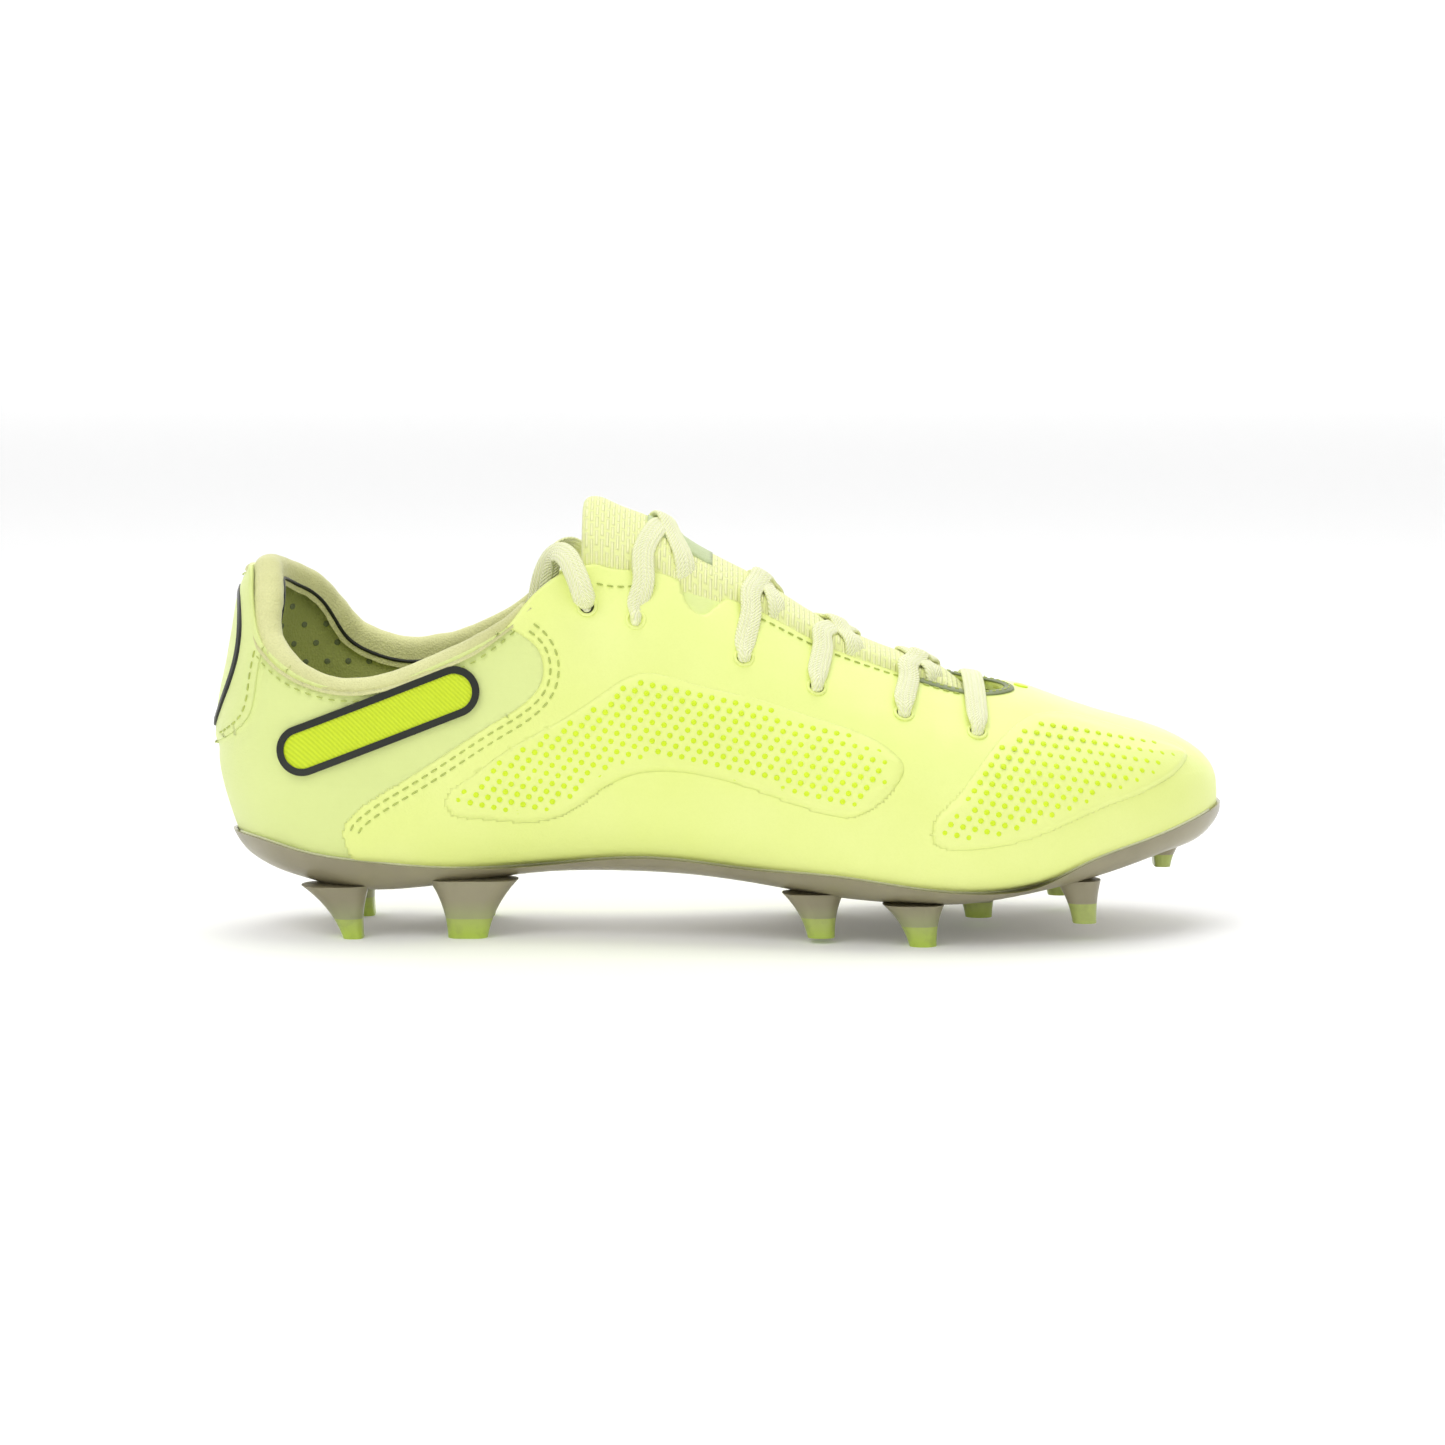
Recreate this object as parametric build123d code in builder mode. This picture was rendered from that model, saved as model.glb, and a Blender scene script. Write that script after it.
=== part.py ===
"""Right football boot with moulded studs, laced, standing on level ground.

+X points to the toe, +Y to the medial (inner) side and +Z up. The origin is on the
ground under the middle of the boot. Millimetres. A station s is measured from the heel.
"""

import math
import os

import numpy as np
from build123d import *

# Driving dimensions
LENGTH = 283.0  # upper, heel to toe
PLATE_LIP = 1.0  # how far the sole plate stands proud of the upper
HEEL_X = -142.0  # x of station 0
SKIN = 1.2  # outer material of the upper
STIFFENER = 1.4  # foam, counters and reinforcements behind it
LINING = 0.9
PLATE_WALL = 2.2  # sole plate under the foot
LAST_MARGIN = 1.0  # upper material folded under the board
BOARD = 1.3
SOCKLINER = 4.0
COLLAR_PAD = 4.2  # extra foam round the ankle
HEEL_RADIUS = 34.0
TOE_START = 205.0  # station where the plan starts to close towards the toe
CAP_START = 255.0  # station where the toe cap starts to turn down
BINDING_WIDTH = 4.0
TONGUE_BULGE = 1.6  # how far the tongue rises above the line of the eyestays
TONGUE_WING_DEPTH = 5.9  # tongue wings under the outer skin, with room for the lace
TONGUE_WING = 1.8
TONGUE_PAD_DEPTH = 6.8
TONGUE_GAP = 2.8  # between the tongue's pad and the throat's edges, where the lace comes up
LACE_RADIUS = 0.9  # lace where it is pulled tight
LACE_END_RADIUS = 1.8  # loose ends, between the lace's width and thickness
AGLET_RADIUS = 1.7
AGLET_LENGTH = 20.0
EYELET_RADIUS = 2.1
STUD_TIP = 5.5  # height of the coloured stud tips
FAR = 90.0  # beyond the boot on either side


def through(*points):
    """Natural cubic spline through (x, y) points, level beyond both ends."""
    x = np.array([p[0] for p in points], float)
    y = np.array([p[1] for p in points], float)
    h = np.diff(x)
    count = len(x)
    left = np.eye(count)
    right = np.zeros(count)
    for i in range(1, count - 1):
        left[i, i - 1 : i + 2] = h[i - 1], 2 * (h[i - 1] + h[i]), h[i]
        right[i] = 6 * ((y[i + 1] - y[i]) / h[i] - (y[i] - y[i - 1]) / h[i - 1])
    bend = np.linalg.solve(left, right)

    def curve(value):
        value = np.clip(np.asarray(value, float), x[0], x[-1])
        i = np.clip(np.searchsorted(x, value) - 1, 0, count - 2)
        before, after, step = x[i + 1] - value, value - x[i], h[i]
        cubic = (bend[i] * before**3 + bend[i + 1] * after**3) / (6 * step)
        return cubic + (y[i] / step - bend[i] * step / 6) * before + (
            y[i + 1] / step - bend[i + 1] * step / 6
        ) * after

    return curve


def smooth(value, start, end):
    """0 before start and 1 after end, with a smooth rise between."""
    t = np.clip((value - start) / (end - start), 0, 1)
    return t * t * (3 - 2 * t)


# Plan of the upper: half width and middle line, by station
half_width = through(
    (0, 33), (45, 33.2), (80, 31), (110, 30), (140, 34), (170, 41.5), (190, 46.5), (205, 48.3),
    (230, 48.5), (284, 48.5)
)
middle = through(
    (0, 0), (50, 0), (80, -1), (110, -4), (140, -5), (170, -3.5), (190, -1.5), (205, 0), (230, 2.2),
    (250, 4.5),
    (265, 7), (284, 11),
)
ridge = through((0, 0), (100, 0), (146, 1), (190, 4), (220, 7), (250, 9), (284, 11))
# Side view: height of the crest, of the widest line, of the sole's underside and of its rim
crest = through(
    (0, 133), (60, 133), (90, 127), (104, 121.5), (111, 118), (125, 112), (135, 105.5), (152, 96.7),
    (165, 88),
    (182, 79.4), (199, 73.3), (213, 70), (226, 68.4), (240, 63.6), (257, 58.4), (284, 51.5),
)
widest = through(
    (0, 52), (60, 50), (110, 44), (150, 38), (190, 31), (215, 29.5), (240, 31), (260, 33.5), (284, 36.5)
)
tuck = through((0, 0.10), (60, 0.12), (110, 0.2), (150, 0.14), (190, 0.06), (284, 0.04))
arch = through((0, 1.3), (60, 1.3), (110, 1.1), (160, 1.1), (200, 1.02), (240, 0.95), (284, 0.9))
heel_line = through(
    (10, 15), (20, 9), (26, 6.2), (35, 3.1), (44, 0.8), (53, 0), (64, 0.6), (74, 2.6), (86, 4.8), (95, 6.8),
    (103, 10), (112, 14), (133, 24),
)
underside = through(
    (0, 26), (8, 22.5), (13, 19.5), (20, 17), (30, 14), (42, 12.5), (60, 13), (84, 16.3),
    (100, 17.5), (120, 17.5),
    (140, 16.3), (158, 13.8), (176, 11.2), (195, 10), (208, 9.9), (224, 12), (240, 15.3),
    (256, 19.3), (270, 23),
    (279, 26.3), (284, 31),
)
rim = through(
    (-3, 29), (6.5, 28), (13.5, 27.4), (23, 25.2), (33, 23.3), (45, 21.9), (59, 20.3), (78, 19.6),
    (91, 20.2),
    (113, 22.7), (125, 23), (149, 20.8), (172, 19.8), (184, 18.4), (196, 16.6), (209, 15.3),
    (218, 15), (225, 15.4),
    (231, 16.9), (236.5, 19.8), (247.5, 24.6), (257, 27.2), (267, 29.9), (276.6, 32.7), (288, 36),
)

STATIONS = (
    0.25, 1.2, 3, 6, 10, 16, 25, 38, 55, 75, 95, 115, 135, 155, 175, 192, 208, 222, 236, 248, 258, 267,
    274, 279, 281.8, 282.8
)


class Layer:
    """A closed surface inside the boot's outer one: its inset, its floor and its ankle padding."""

    def __init__(self, inset=0.0, floor_rise=0.0, padding=0.0, bulge=0.0, under=PLATE_WALL):
        self.inset = inset
        self.floor_rise = floor_rise
        self.padding = padding
        self.bulge = bulge
        self.under = under

    def floor(self, s):
        end = LENGTH - self.inset
        fade = np.sqrt(1 - np.clip((s - 225) / (end - 225), 0, 1) ** 2)
        return underside(s) + self.under + self.inset + (self.floor_rise - self.inset) * fade

    def top(self, s):
        end = LENGTH - self.inset
        cap = np.clip((s - CAP_START) / (end - CAP_START), 0, 1)
        lift = self.bulge * (1 - smooth(s, 200, 216)) - 5 * smooth(s, 200, 218) * (self.bulge > 0)
        return widest(s) + (crest(s) - self.inset + lift - widest(s)) * (1 - cap**3) ** (1 / 3)

    def depth(self, s, z):
        return self.inset + self.padding * smooth(z, 50, 68) * (1 - smooth(s, 62, 96))

    def half(self, s, z, side):
        """Distance of the wall from the ridge line at height z; side is -1 lateral, 1 medial."""
        depth, floor, top = self.depth(s, z), self.floor(s), self.top(s)
        toe = np.clip((s - TOE_START) / (LENGTH - self.inset - TOE_START), 0, 1)
        edge = middle(s) + side * (half_width(s) - depth) * np.sqrt(1 - toe**2)
        reach = np.maximum(side * (edge - ridge(s)), 0)
        heel = np.clip((s - heel_line(z) - depth) / (HEEL_RADIUS - depth), 0, 1)
        up = np.clip((z - widest(s)) / (top - widest(s)), 0, 1)
        down = np.clip((widest(s) - z) / (widest(s) - floor), 0, 1)
        above = (1 - up**2) ** (arch(s) / 2)
        below = (1 - tuck(s) * down**2) * (1 - down**5) ** 0.2
        return reach * np.where(z >= widest(s), above, below) * np.sqrt(1 - (1 - heel) ** 2)

    def start(self):
        z = np.linspace(40, 60, 201)
        return float(np.min(heel_line(z) + self.depth(0, z)))

    def wall(self, s, z, side):
        return float(ridge(s) + side * self.half(s, z, side))

    def section(self, s, count=20):
        """Points round the section at station s, evenly spaced up each side."""
        z = self.floor(s) + (self.top(s) - self.floor(s)) * (1 - np.cos(np.linspace(0, np.pi, 1601))) / 2
        clear = s - heel_line(z) - self.depth(s, z)
        inside = clear > 0
        first = last = int(np.argmax(clear)) if s < HEEL_RADIUS else 800
        while first > 0 and inside[first - 1]:
            first -= 1
        while last < 1600 and inside[last + 1]:
            last += 1
        z = z[first : last + 1]
        sides = []
        for side in (-1, 1):
            y = ridge(s) + side * self.half(s, z, side)
            y[0] = y[-1] = ridge(s)
            run = np.concatenate([[0], np.cumsum(np.hypot(np.diff(y), np.diff(z)))])
            even = np.linspace(0, run[-1], count + 1)
            sides.append(np.stack([np.interp(even, run, y), np.interp(even, run, z)], 1))
        return [tuple(p) for p in np.concatenate([sides[0], sides[1][-2:0:-1]])]


def solid_of(layer):
    """The filled solid of a layer, lofted from heel to toe."""
    with BuildPart() as filled:
        for station in STATIONS:
            s = layer.start() + station * (LENGTH - layer.inset - layer.start()) / LENGTH
            points = layer.section(s)
            steps = [i / len(points) for i in range(len(points) + 1)]
            with BuildSketch(Plane.YZ.offset(s + HEEL_X)):
                with BuildLine():
                    add(Edge.make_spline([Vector(*p) for p in points], periodic=True, parameters=steps))
                make_face()
        loft()
    return filled.part



def at(s, z):
    """A side-view point from its station and height."""
    return (s + HEEL_X, z)


def side_region(name, edge, corners, lateral=True, medial=True):
    """Everything inside a side-view outline: a smooth edge, closed through straight corners."""
    with BuildPart() as region:
        with BuildSketch(Plane.XZ) as outline:
            with BuildLine():
                Spline([at(*p) for p in edge])
                Polyline([at(*p) for p in (edge[-1], *corners, edge[0])])
            make_face()
        if lateral:
            extrude(amount=FAR)
        if medial:
            extrude(outline.sketch, amount=-FAR)
    region.part.label = name
    return region.part


def lowered(points, drop):
    """The same curve moved down by drop, square to itself."""
    xy = np.array(points, float)
    run = np.gradient(xy, axis=0)
    run /= np.hypot(run[:, 0], run[:, 1])[:, None]
    moved = xy + drop * np.stack([run[:, 1], -run[:, 0]], 1)
    return [tuple(p) for p in moved]


# Topline of the collar: seen from behind, then from each side
BACK_TOPLINE = (
    (-34, 75), (-28, 78), (-24, 82), (-19, 88.5), (-15, 94.8), (-10, 101), (-5, 104.6), (0, 105.3),
    (5, 105.2),
    (10, 104.4), (15, 103), (20, 101.3), (26, 99), (34, 96.5),
)
LATERAL_TOPLINE = (
    (20, 80.5), (25, 76.9), (32.7, 74), (39.6, 73), (46, 73.6), (52, 75), (62.2, 79), (70, 82.4),
    (77.8, 86.4),
    (85.5, 91.6), (93, 98.4), (104.8, 103.7), (114, 104),
)
MEDIAL_TOPLINE = (
    (20, 101.3), (23.3, 99.5), (27.3, 96), (31.4, 91.5), (35.4, 87.3), (39.4, 84.2), (44.2, 81.9),
    (48.6, 80.5),
    (54.7, 79.8), (60.8, 80.6), (67.5, 82), (77, 86), (85.5, 91), (93, 97.5), (104.8, 103.4), (114, 104),
)
COLLAR_END = 86.0  # station where the collar's binding stops
SIDE_START = 20.0  # station where the side toplines take over from the back one
TOP = 150.0


def mouth_cutter(drop, end):
    """Everything above the topline moved down by drop, as far forward as station end."""
    back = lowered(BACK_TOPLINE, drop)
    with BuildPart() as cutter:
        with BuildSketch(Plane.YZ.offset(HEEL_X - 20)):
            with BuildLine():
                Spline(back)
                Polyline(back[-1], (FAR, back[-1][1]), (FAR, TOP), (-FAR, TOP), (-FAR, back[0][1]), back[0])
            make_face()
        extrude(amount=20 + SIDE_START)
        for line, reach in ((LATERAL_TOPLINE, FAR), (MEDIAL_TOPLINE, -FAR)):
            kept = [p for p in line if p[0] < end + 6] if drop else line
            edge = lowered(kept, drop)
            with BuildSketch(Plane.XZ):
                with BuildLine():
                    Spline([at(*p) for p in edge])
                    Polyline([at(*p) for p in (edge[-1], (edge[-1][0], TOP), (edge[0][0], TOP), edge[0])])
                make_face()
            extrude(amount=reach)
        if drop:
            with BuildSketch(Plane.YZ.offset(end + HEEL_X)):
                Rectangle(3 * FAR, 3 * FAR)
            extrude(amount=FAR, mode=Mode.SUBTRACT)
    return cutter.part


# Plan of the throat, lateral edge then medial edge
THROAT_LATERAL = (
    (104, -19.5), (113, -19.5), (125, -18), (147, -16), (166, -14.3), (183, -13), (196, -12.7), (205, -13),
    (213, -12.3), (219, -9.5), (222, -5),
)
THROAT_MEDIAL = (
    (222, -5), (219, 1), (212, 5), (203, 7.6), (190, 9.8), (166, 12), (147, 13.5), (125, 16),
    (113, 18.5), (104, 19),
)


def throat_sketch(gap):
    """The throat's outline in plan, drawn in by gap."""
    tip = (THROAT_MEDIAL[0][0] - gap, THROAT_MEDIAL[0][1])
    lateral = lowered(THROAT_LATERAL, -gap)[:-1] + [tip]
    medial = [tip] + lowered(THROAT_MEDIAL, -gap)[1:]
    with BuildSketch(Plane.XY.offset(52)) as plan:
        with BuildLine():
            Spline([at(*p) for p in lateral])
            Spline([at(*p) for p in medial])
            Polyline(at(*medial[-1]), at(92, medial[-1][1]), at(92, lateral[0][1]), at(*lateral[0]))
        make_face()
    return plan.sketch


def throat_prism(gap=0.0):
    with BuildPart() as prism:
        add(throat_sketch(gap))
        extrude(amount=FAR)
    return prism.part


outer_layer = Layer()
stiffener_layer = Layer(SKIN, LAST_MARGIN)
lining_layer = Layer(SKIN + STIFFENER, LAST_MARGIN + BOARD, COLLAR_PAD)
foot_layer = Layer(SKIN + STIFFENER + LINING, LAST_MARGIN + BOARD + SOCKLINER, COLLAR_PAD)
THICKNESS = foot_layer.inset

outer = solid_of(outer_layer)
stiffener_space = solid_of(stiffener_layer)
lining_space = solid_of(lining_layer)
foot_space = solid_of(foot_layer)

opening = mouth_cutter(0, 0) + throat_prism()
below_binding = opening + mouth_cutter(BINDING_WIDTH, COLLAR_END)


def shell(outside, inside):
    with BuildPart() as layer:
        add(outside)
        add(inside, mode=Mode.SUBTRACT)
        add(below_binding, mode=Mode.SUBTRACT)
    return layer.part


def floor_region(layer, above):
    """Everything under a layer's floor line raised by above."""
    stations = np.linspace(-4, LENGTH + 4, 33)
    line = [(float(s), float(layer.floor(min(s, LENGTH - layer.inset)) + above)) for s in stations]
    return side_region("floor", line, ((LENGTH + 4, -5), (-4, -5)))


def inside_of(solid, region, *left_out):
    """The part of a solid inside a region and outside every region left out."""
    with BuildPart() as piece:
        add(solid)
        if region is not None:
            add(region, mode=Mode.INTERSECT)
        for other in left_out:
            add(other, mode=Mode.SUBTRACT)
    return piece.part


pieces = {}


def keep(name, part):
    part.label = name
    pieces[name] = part


# Collar binding: a soft band rolled over the rim of all the layers
with BuildPart() as collar_binding:
    add(outer)
    add(foot_space, mode=Mode.SUBTRACT)
    add(opening, mode=Mode.SUBTRACT)
    add(mouth_cutter(BINDING_WIDTH, COLLAR_END), mode=Mode.INTERSECT)
keep("collar_binding", collar_binding.part)

# Outer skin: one-piece synthetic leather vamp, textile quarters and a heel panel
QUARTER_SEAM = (
    (78.3, 87), (82.8, 86.8), (87.2, 84.8), (91, 81.7), (93, 76.6), (92.2, 71.5), (88.6, 67),
    (79.5, 61), (67, 53),
    (54.3, 44.9), (41.5, 36.5), (38.2, 32.5), (37.9, 28), (39.1, 24.7), (40.8, 20),
)
HEEL_SEAM = ((18, 84.5), (14.7, 79.8), (12.8, 70), (10.8, 62), (5, 56.5), (-3, 51))
quarter_region = side_region("quarter", QUARTER_SEAM, ((40.8, -5), (-20, -5), (-20, TOP), (78.3, TOP)))
heel_region = side_region("heel", HEEL_SEAM, ((-20, 51), (-20, TOP), (18, TOP)))
with BuildPart() as lateral_half:
    with BuildSketch(Plane.XZ):
        with Locations((0, 60)):
            Rectangle(4 * FAR, 2 * FAR)
    extrude(amount=FAR)

skin = shell(outer, stiffener_space)
keep("vamp_shell", inside_of(skin, None, quarter_region, heel_region))
keep("heel_back_panel", inside_of(skin, heel_region))
quarters = inside_of(skin, quarter_region, heel_region)
keep("quarter_panel_lateral", inside_of(quarters, lateral_half.part))
keep("quarter_panel_medial", inside_of(quarters, None, lateral_half.part))

# Behind the skin: board, toe puff, foam pods, eyestay reinforcement, heel counter and collar foam
MIDFOOT_POD = (
    (67, 36), (66, 40), (71.7, 45.2), (78.6, 50.4), (85.9, 55.2), (98.6, 62.2), (109, 69), (119.9, 74.7),
    (134, 72), (148.4, 68.8), (165.5, 63.6), (181.5, 58.3), (189, 54), (192, 50), (189.5, 44.7),
    (183.4, 38.9),
    (177.9, 36.4), (171.8, 36.9), (156.3, 41.6), (144.4, 45.5), (132.8, 47.7), (117.3, 46.8), (109.6, 42.9),
    (97.4, 34.9), (87.7, 33.2), (73.1, 34.3), (67, 36),
)
FOREFOOT_POD = (
    (228, 62), (219, 56.8), (209.5, 46), (204.2, 40.2), (199.5, 34.5), (200, 29.5), (205, 27.8),
    (217, 28.3),
    (229.7, 31.5), (238, 35), (248, 39.5), (250.5, 46), (246, 53), (237, 59.5), (228, 62),
)
EYESTAY_LINE = ((95, 84), (104, 82.5), (125, 77), (148, 69), (169, 60.5), (193, 53), (215, 49.5), (226, 54))
COUNTER_LINE = ((72, 5), (66, 30), (48, 46), (30, 53), (10, 58), (-10, 60))
stiffener = shell(stiffener_space, lining_space)
board_region = floor_region(lining_layer, 0.3)
toe_region = side_region("toe", ((247, -5), (251, 30), (257, 80)), ((300, 80), (300, -5)))
eyestay_region = side_region("eyestay", EYESTAY_LINE, ((226, TOP), (95, TOP)))
counter_region = side_region("counter", COUNTER_LINE, ((-10, -5), (70, -5)))
collar_region = side_region("collar", ((72, 5), (82, 60), (85, TOP)), ((-20, TOP), (-20, 5)))
keep("insole_board", inside_of(stiffener, board_region))
keep("toe_puff", inside_of(stiffener, toe_region, board_region))
keep("heel_counter", inside_of(stiffener, counter_region, board_region))
keep("collar_foam", inside_of(stiffener, collar_region, board_region, counter_region))
rest = inside_of(stiffener, None, board_region, toe_region, counter_region, collar_region)
eyestays = inside_of(rest, eyestay_region)
rest = inside_of(rest, None, eyestay_region)
for side, lateral in (("lateral", True), ("medial", False)):
    half = lateral_half.part
    keep("eyestay_" + side, inside_of(eyestays, half) if lateral else inside_of(eyestays, None, half))
    for name, outline in (("midfoot_pod_", MIDFOOT_POD), ("forefoot_pod_", FOREFOOT_POD)):
        with BuildPart() as pod_region:
            with BuildSketch(Plane.XZ):
                with BuildLine():
                    Spline([at(*p) for p in outline[:-1]], periodic=True)
                make_face()
            extrude(amount=FAR if lateral else -FAR)
        keep(name + side, inside_of(rest, pod_region.part))
        rest = inside_of(rest, None, pod_region.part)
keep("vamp_backing", rest)

# Lining: sockliner on the board, and the textile linings of the heel and the vamp
lining = shell(lining_space, foot_space)
sock_region = floor_region(foot_layer, 0.3)
heel_lining_region = side_region("heel_lining", ((84, 5), (90, 60), (91, TOP)), ((-20, TOP), (-20, 5)))
keep("sockliner", inside_of(lining, sock_region))
keep("heel_lining", inside_of(lining, heel_lining_region, sock_region))
keep("vamp_lining", inside_of(lining, None, heel_lining_region, sock_region))


# Trims on the outside, standing proud of the skin: a plain pill-shaped badge on each quarter,
# a ring of piping round the heel and a grey edge at the toe end of the throat
TRIM = 0.9
BADGE = dict(centre=(47.5, 61.5), length=59.0, height=14.0, border=2.0, tilt=21.0)
trim_space = solid_of(Layer(-TRIM, -PLATE_WALL))
fill_space = solid_of(Layer(-TRIM * 0.6, -PLATE_WALL))
for side, reach in (("lateral", FAR), ("medial", -FAR)):
    with BuildPart() as fill_prism:
        with BuildSketch(Plane.XZ):
            with Locations(at(*BADGE["centre"])):
                SlotOverall(
                    BADGE["length"] - 2 * BADGE["border"], BADGE["height"] - 2 * BADGE["border"], BADGE["tilt"]
                )
        extrude(amount=reach)
    with BuildPart() as badge_fill:
        add(fill_prism.part)
        add(fill_space, mode=Mode.INTERSECT)
        add(outer, mode=Mode.SUBTRACT)
    keep("badge_fill_" + side, badge_fill.part)
    with BuildPart() as badge_border:
        with BuildSketch(Plane.XZ):
            with Locations(at(*BADGE["centre"])):
                SlotOverall(BADGE["length"], BADGE["height"], BADGE["tilt"])
        extrude(amount=reach)
        add(fill_prism.part, mode=Mode.SUBTRACT)
        add(trim_space, mode=Mode.INTERSECT)
        add(outer, mode=Mode.SUBTRACT)
    keep("badge_border_" + side, badge_border.part)

with BuildPart() as heel_piping:
    with BuildSketch(Plane.YZ.offset(HEEL_X - 20)):
        with Locations((0, 77)):
            Ellipse(15.5, 20)
            Ellipse(14, 18.5, mode=Mode.SUBTRACT)
    extrude(amount=20 + SIDE_START)
    add(trim_space, mode=Mode.INTERSECT)
    add(outer, mode=Mode.SUBTRACT)
keep("heel_piping", heel_piping.part)

# Sole plate: a dish that wraps the foot of the upper, with the stud bases moulded on it
plate_space = solid_of(Layer(-PLATE_LIP, -PLATE_WALL))
RIM_STATIONS = np.linspace(-3, LENGTH + 3, 40)
rim_points = [(float(s), float(rim(s))) for s in RIM_STATIONS]
above_rim = side_region("above_rim", rim_points, ((286, TOP), (-3, TOP)))

# Studs: station and y of the base and of the tip, base and tip sizes, and height of the tip's end
STUDS = {
    "heel_lateral_rear": ((34.5, -19), (39.7, -22), (19, 15), (5.5, 9), 0.0),
    "heel_lateral_front": ((73, -19), (71.5, -21.5), (25, 14), (11, 8), 0.0),
    "heel_medial_rear": ((34.5, 19), (39.7, 22), (19, 15), (5.5, 9), 0.0),
    "heel_medial_front": ((73, 18), (71.5, 20.5), (25, 14), (11, 8), 0.0),
    "fore_lateral_rear": ((167.4, -29), (169.7, -31), (17, 13), (7.5, 8.5), 1.5),
    "fore_lateral_ball": ((195, -35), (197.6, -37), (17, 13), (7.5, 8.5), 0.0),
    "fore_lateral_front": ((241, -26), (242.8, -27), (12.5, 12), (6.5, 8), 5.0),
    "fore_medial_rear": ((167, 24), (169.5, 25.5), (17, 13), (7.5, 8.5), 1.5),
    "fore_medial_ball": ((199, 34), (201, 36), (17, 13), (7.5, 8.5), 0.0),
    "fore_medial_front": ((238, 31), (240, 32), (13, 12), (6.5, 8), 4.5),
    "fore_centre": ((214, 1), (215, 1), (13, 13), (7.5, 7.5), 2.5),
    "toe": ((268, 9), (267.5, 9.5), (10, 16), (4.5, 10), 16.0),
}


def stud(base, tip, base_size, tip_size, ground):
    root = float(underside(base[0])) + 1.3
    waist = ground + 0.45 * (root - ground)
    heights = (root, waist, ground)
    centres = (base, tuple(0.35 * b + 0.65 * t for b, t in zip(base, tip)), tip)
    sizes = (base_size, tuple(0.25 * b + 0.75 * t for b, t in zip(base_size, tip_size)), tip_size)
    with BuildPart() as whole:
        for height, centre, size in zip(heights, centres, sizes):
            with BuildSketch(Plane.XY.offset(height)):
                with Locations((centre[0] + HEEL_X, centre[1])):
                    RectangleRounded(*size, 0.42 * min(size))
        loft()
    return whole.part


stud_solids = {name: stud(*shape) for name, shape in STUDS.items()}
with BuildPart() as tip_zone:
    for name, shape in STUDS.items():
        with BuildSketch(Plane.XY.offset(shape[4] - 1)):
            with Locations((shape[1][0] + HEEL_X, shape[1][1])):
                Rectangle(22, 22)
        extrude(amount=1 + min(STUD_TIP, 0.55 * (float(underside(shape[0][0])) - shape[4])))
with BuildPart() as outsole_plate:
    add(plate_space)
    for solid in stud_solids.values():
        add(solid)
    add(outer, mode=Mode.SUBTRACT)
    add(above_rim, mode=Mode.SUBTRACT)
    add(tip_zone.part, mode=Mode.SUBTRACT)
keep("outsole_plate", outsole_plate.part)
for name, solid in stud_solids.items():
    keep("stud_tip_" + name, inside_of(solid, tip_zone.part))

# Eyelets, from the toe: station, height on the lateral side and height on the medial side
EYELETS = (
    (212.5, 58.5, 64.5), (192.3, 63.5, 67.5), (168.3, 70.7, 73), (148.3, 78.8, 79.5), (118.5, 89.1, 89.5),
    (105, 92.6, 93),
)
SIDES = {"lateral": -1, "medial": 1}


def wall_point(layer, s, z, side):
    return Vector(s + HEEL_X, layer.wall(s, z, side), z)


def wall_normal(layer, s, z, side):
    along = wall_point(layer, s + 1, z, side) - wall_point(layer, s - 1, z, side)
    upward = wall_point(layer, s, z + 1, side) - wall_point(layer, s, z - 1, side)
    return (upward.cross(along) if side > 0 else along.cross(upward)).normalized()


def crown_height(layer, s, y):
    """Height of a layer's upper face at station s and width y."""
    side = -1 if y < ridge(s) else 1
    z = np.linspace(float(widest(s)), float(layer.top(s)), 600)
    reach = ridge(s) + side * layer.half(s, z, side)
    order = np.argsort(reach)
    return float(np.interp(y, reach[order], z[order]))


def crown_point(layer, s, y, lift):
    """A point above a layer's upper face, lift away square to its slope across the boot."""
    slope = (crown_height(layer, s, y + 1) - crown_height(layer, s, y - 1)) / 2
    return Vector(s + HEEL_X, y, crown_height(layer, s, y) + lift * math.hypot(1, slope))


eyelets = {}
for name, side in SIDES.items():
    for row, (s, low, high) in enumerate(EYELETS):
        z = low if side < 0 else high
        eyelets[name, row] = (wall_point(outer_layer, s, z, side), wall_normal(outer_layer, s, z, side))
with BuildPart() as eyelet_holes:
    for centre, normal in eyelets.values():
        with BuildSketch(Plane(origin=centre - normal * (THICKNESS + 1.2), z_dir=normal)):
            Circle(EYELET_RADIUS)
        extrude(amount=THICKNESS + 3)
for name in ("vamp_shell", "eyestay_lateral", "eyestay_medial", "vamp_lining", "vamp_backing"):
    keep(name, inside_of(pieces[name], None, eyelet_holes.part))

# Tongue: a padded middle that rises through the throat and thin wings under the eyestays
tongue_top = solid_of(Layer(bulge=TONGUE_BULGE))
tongue_pad_under = solid_of(Layer(TONGUE_PAD_DEPTH, 9))
wing_top = solid_of(Layer(TONGUE_WING_DEPTH, 8))
wing_under = solid_of(Layer(TONGUE_WING_DEPTH + TONGUE_WING, 10))
TONGUE_SIDE = ((103, 84), (112, 80), (125, 76), (147, 68), (166, 61), (183, 56.5), (200, 53.5), (213, 52))
tongue_region = side_region("tongue", TONGUE_SIDE, ((215.5, 58), (215.5, TOP), (109, TOP)))
with BuildPart() as tongue_pad:
    add(tongue_top)
    add(throat_prism(TONGUE_GAP), mode=Mode.INTERSECT)
    add(tongue_pad_under, mode=Mode.SUBTRACT)
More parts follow.
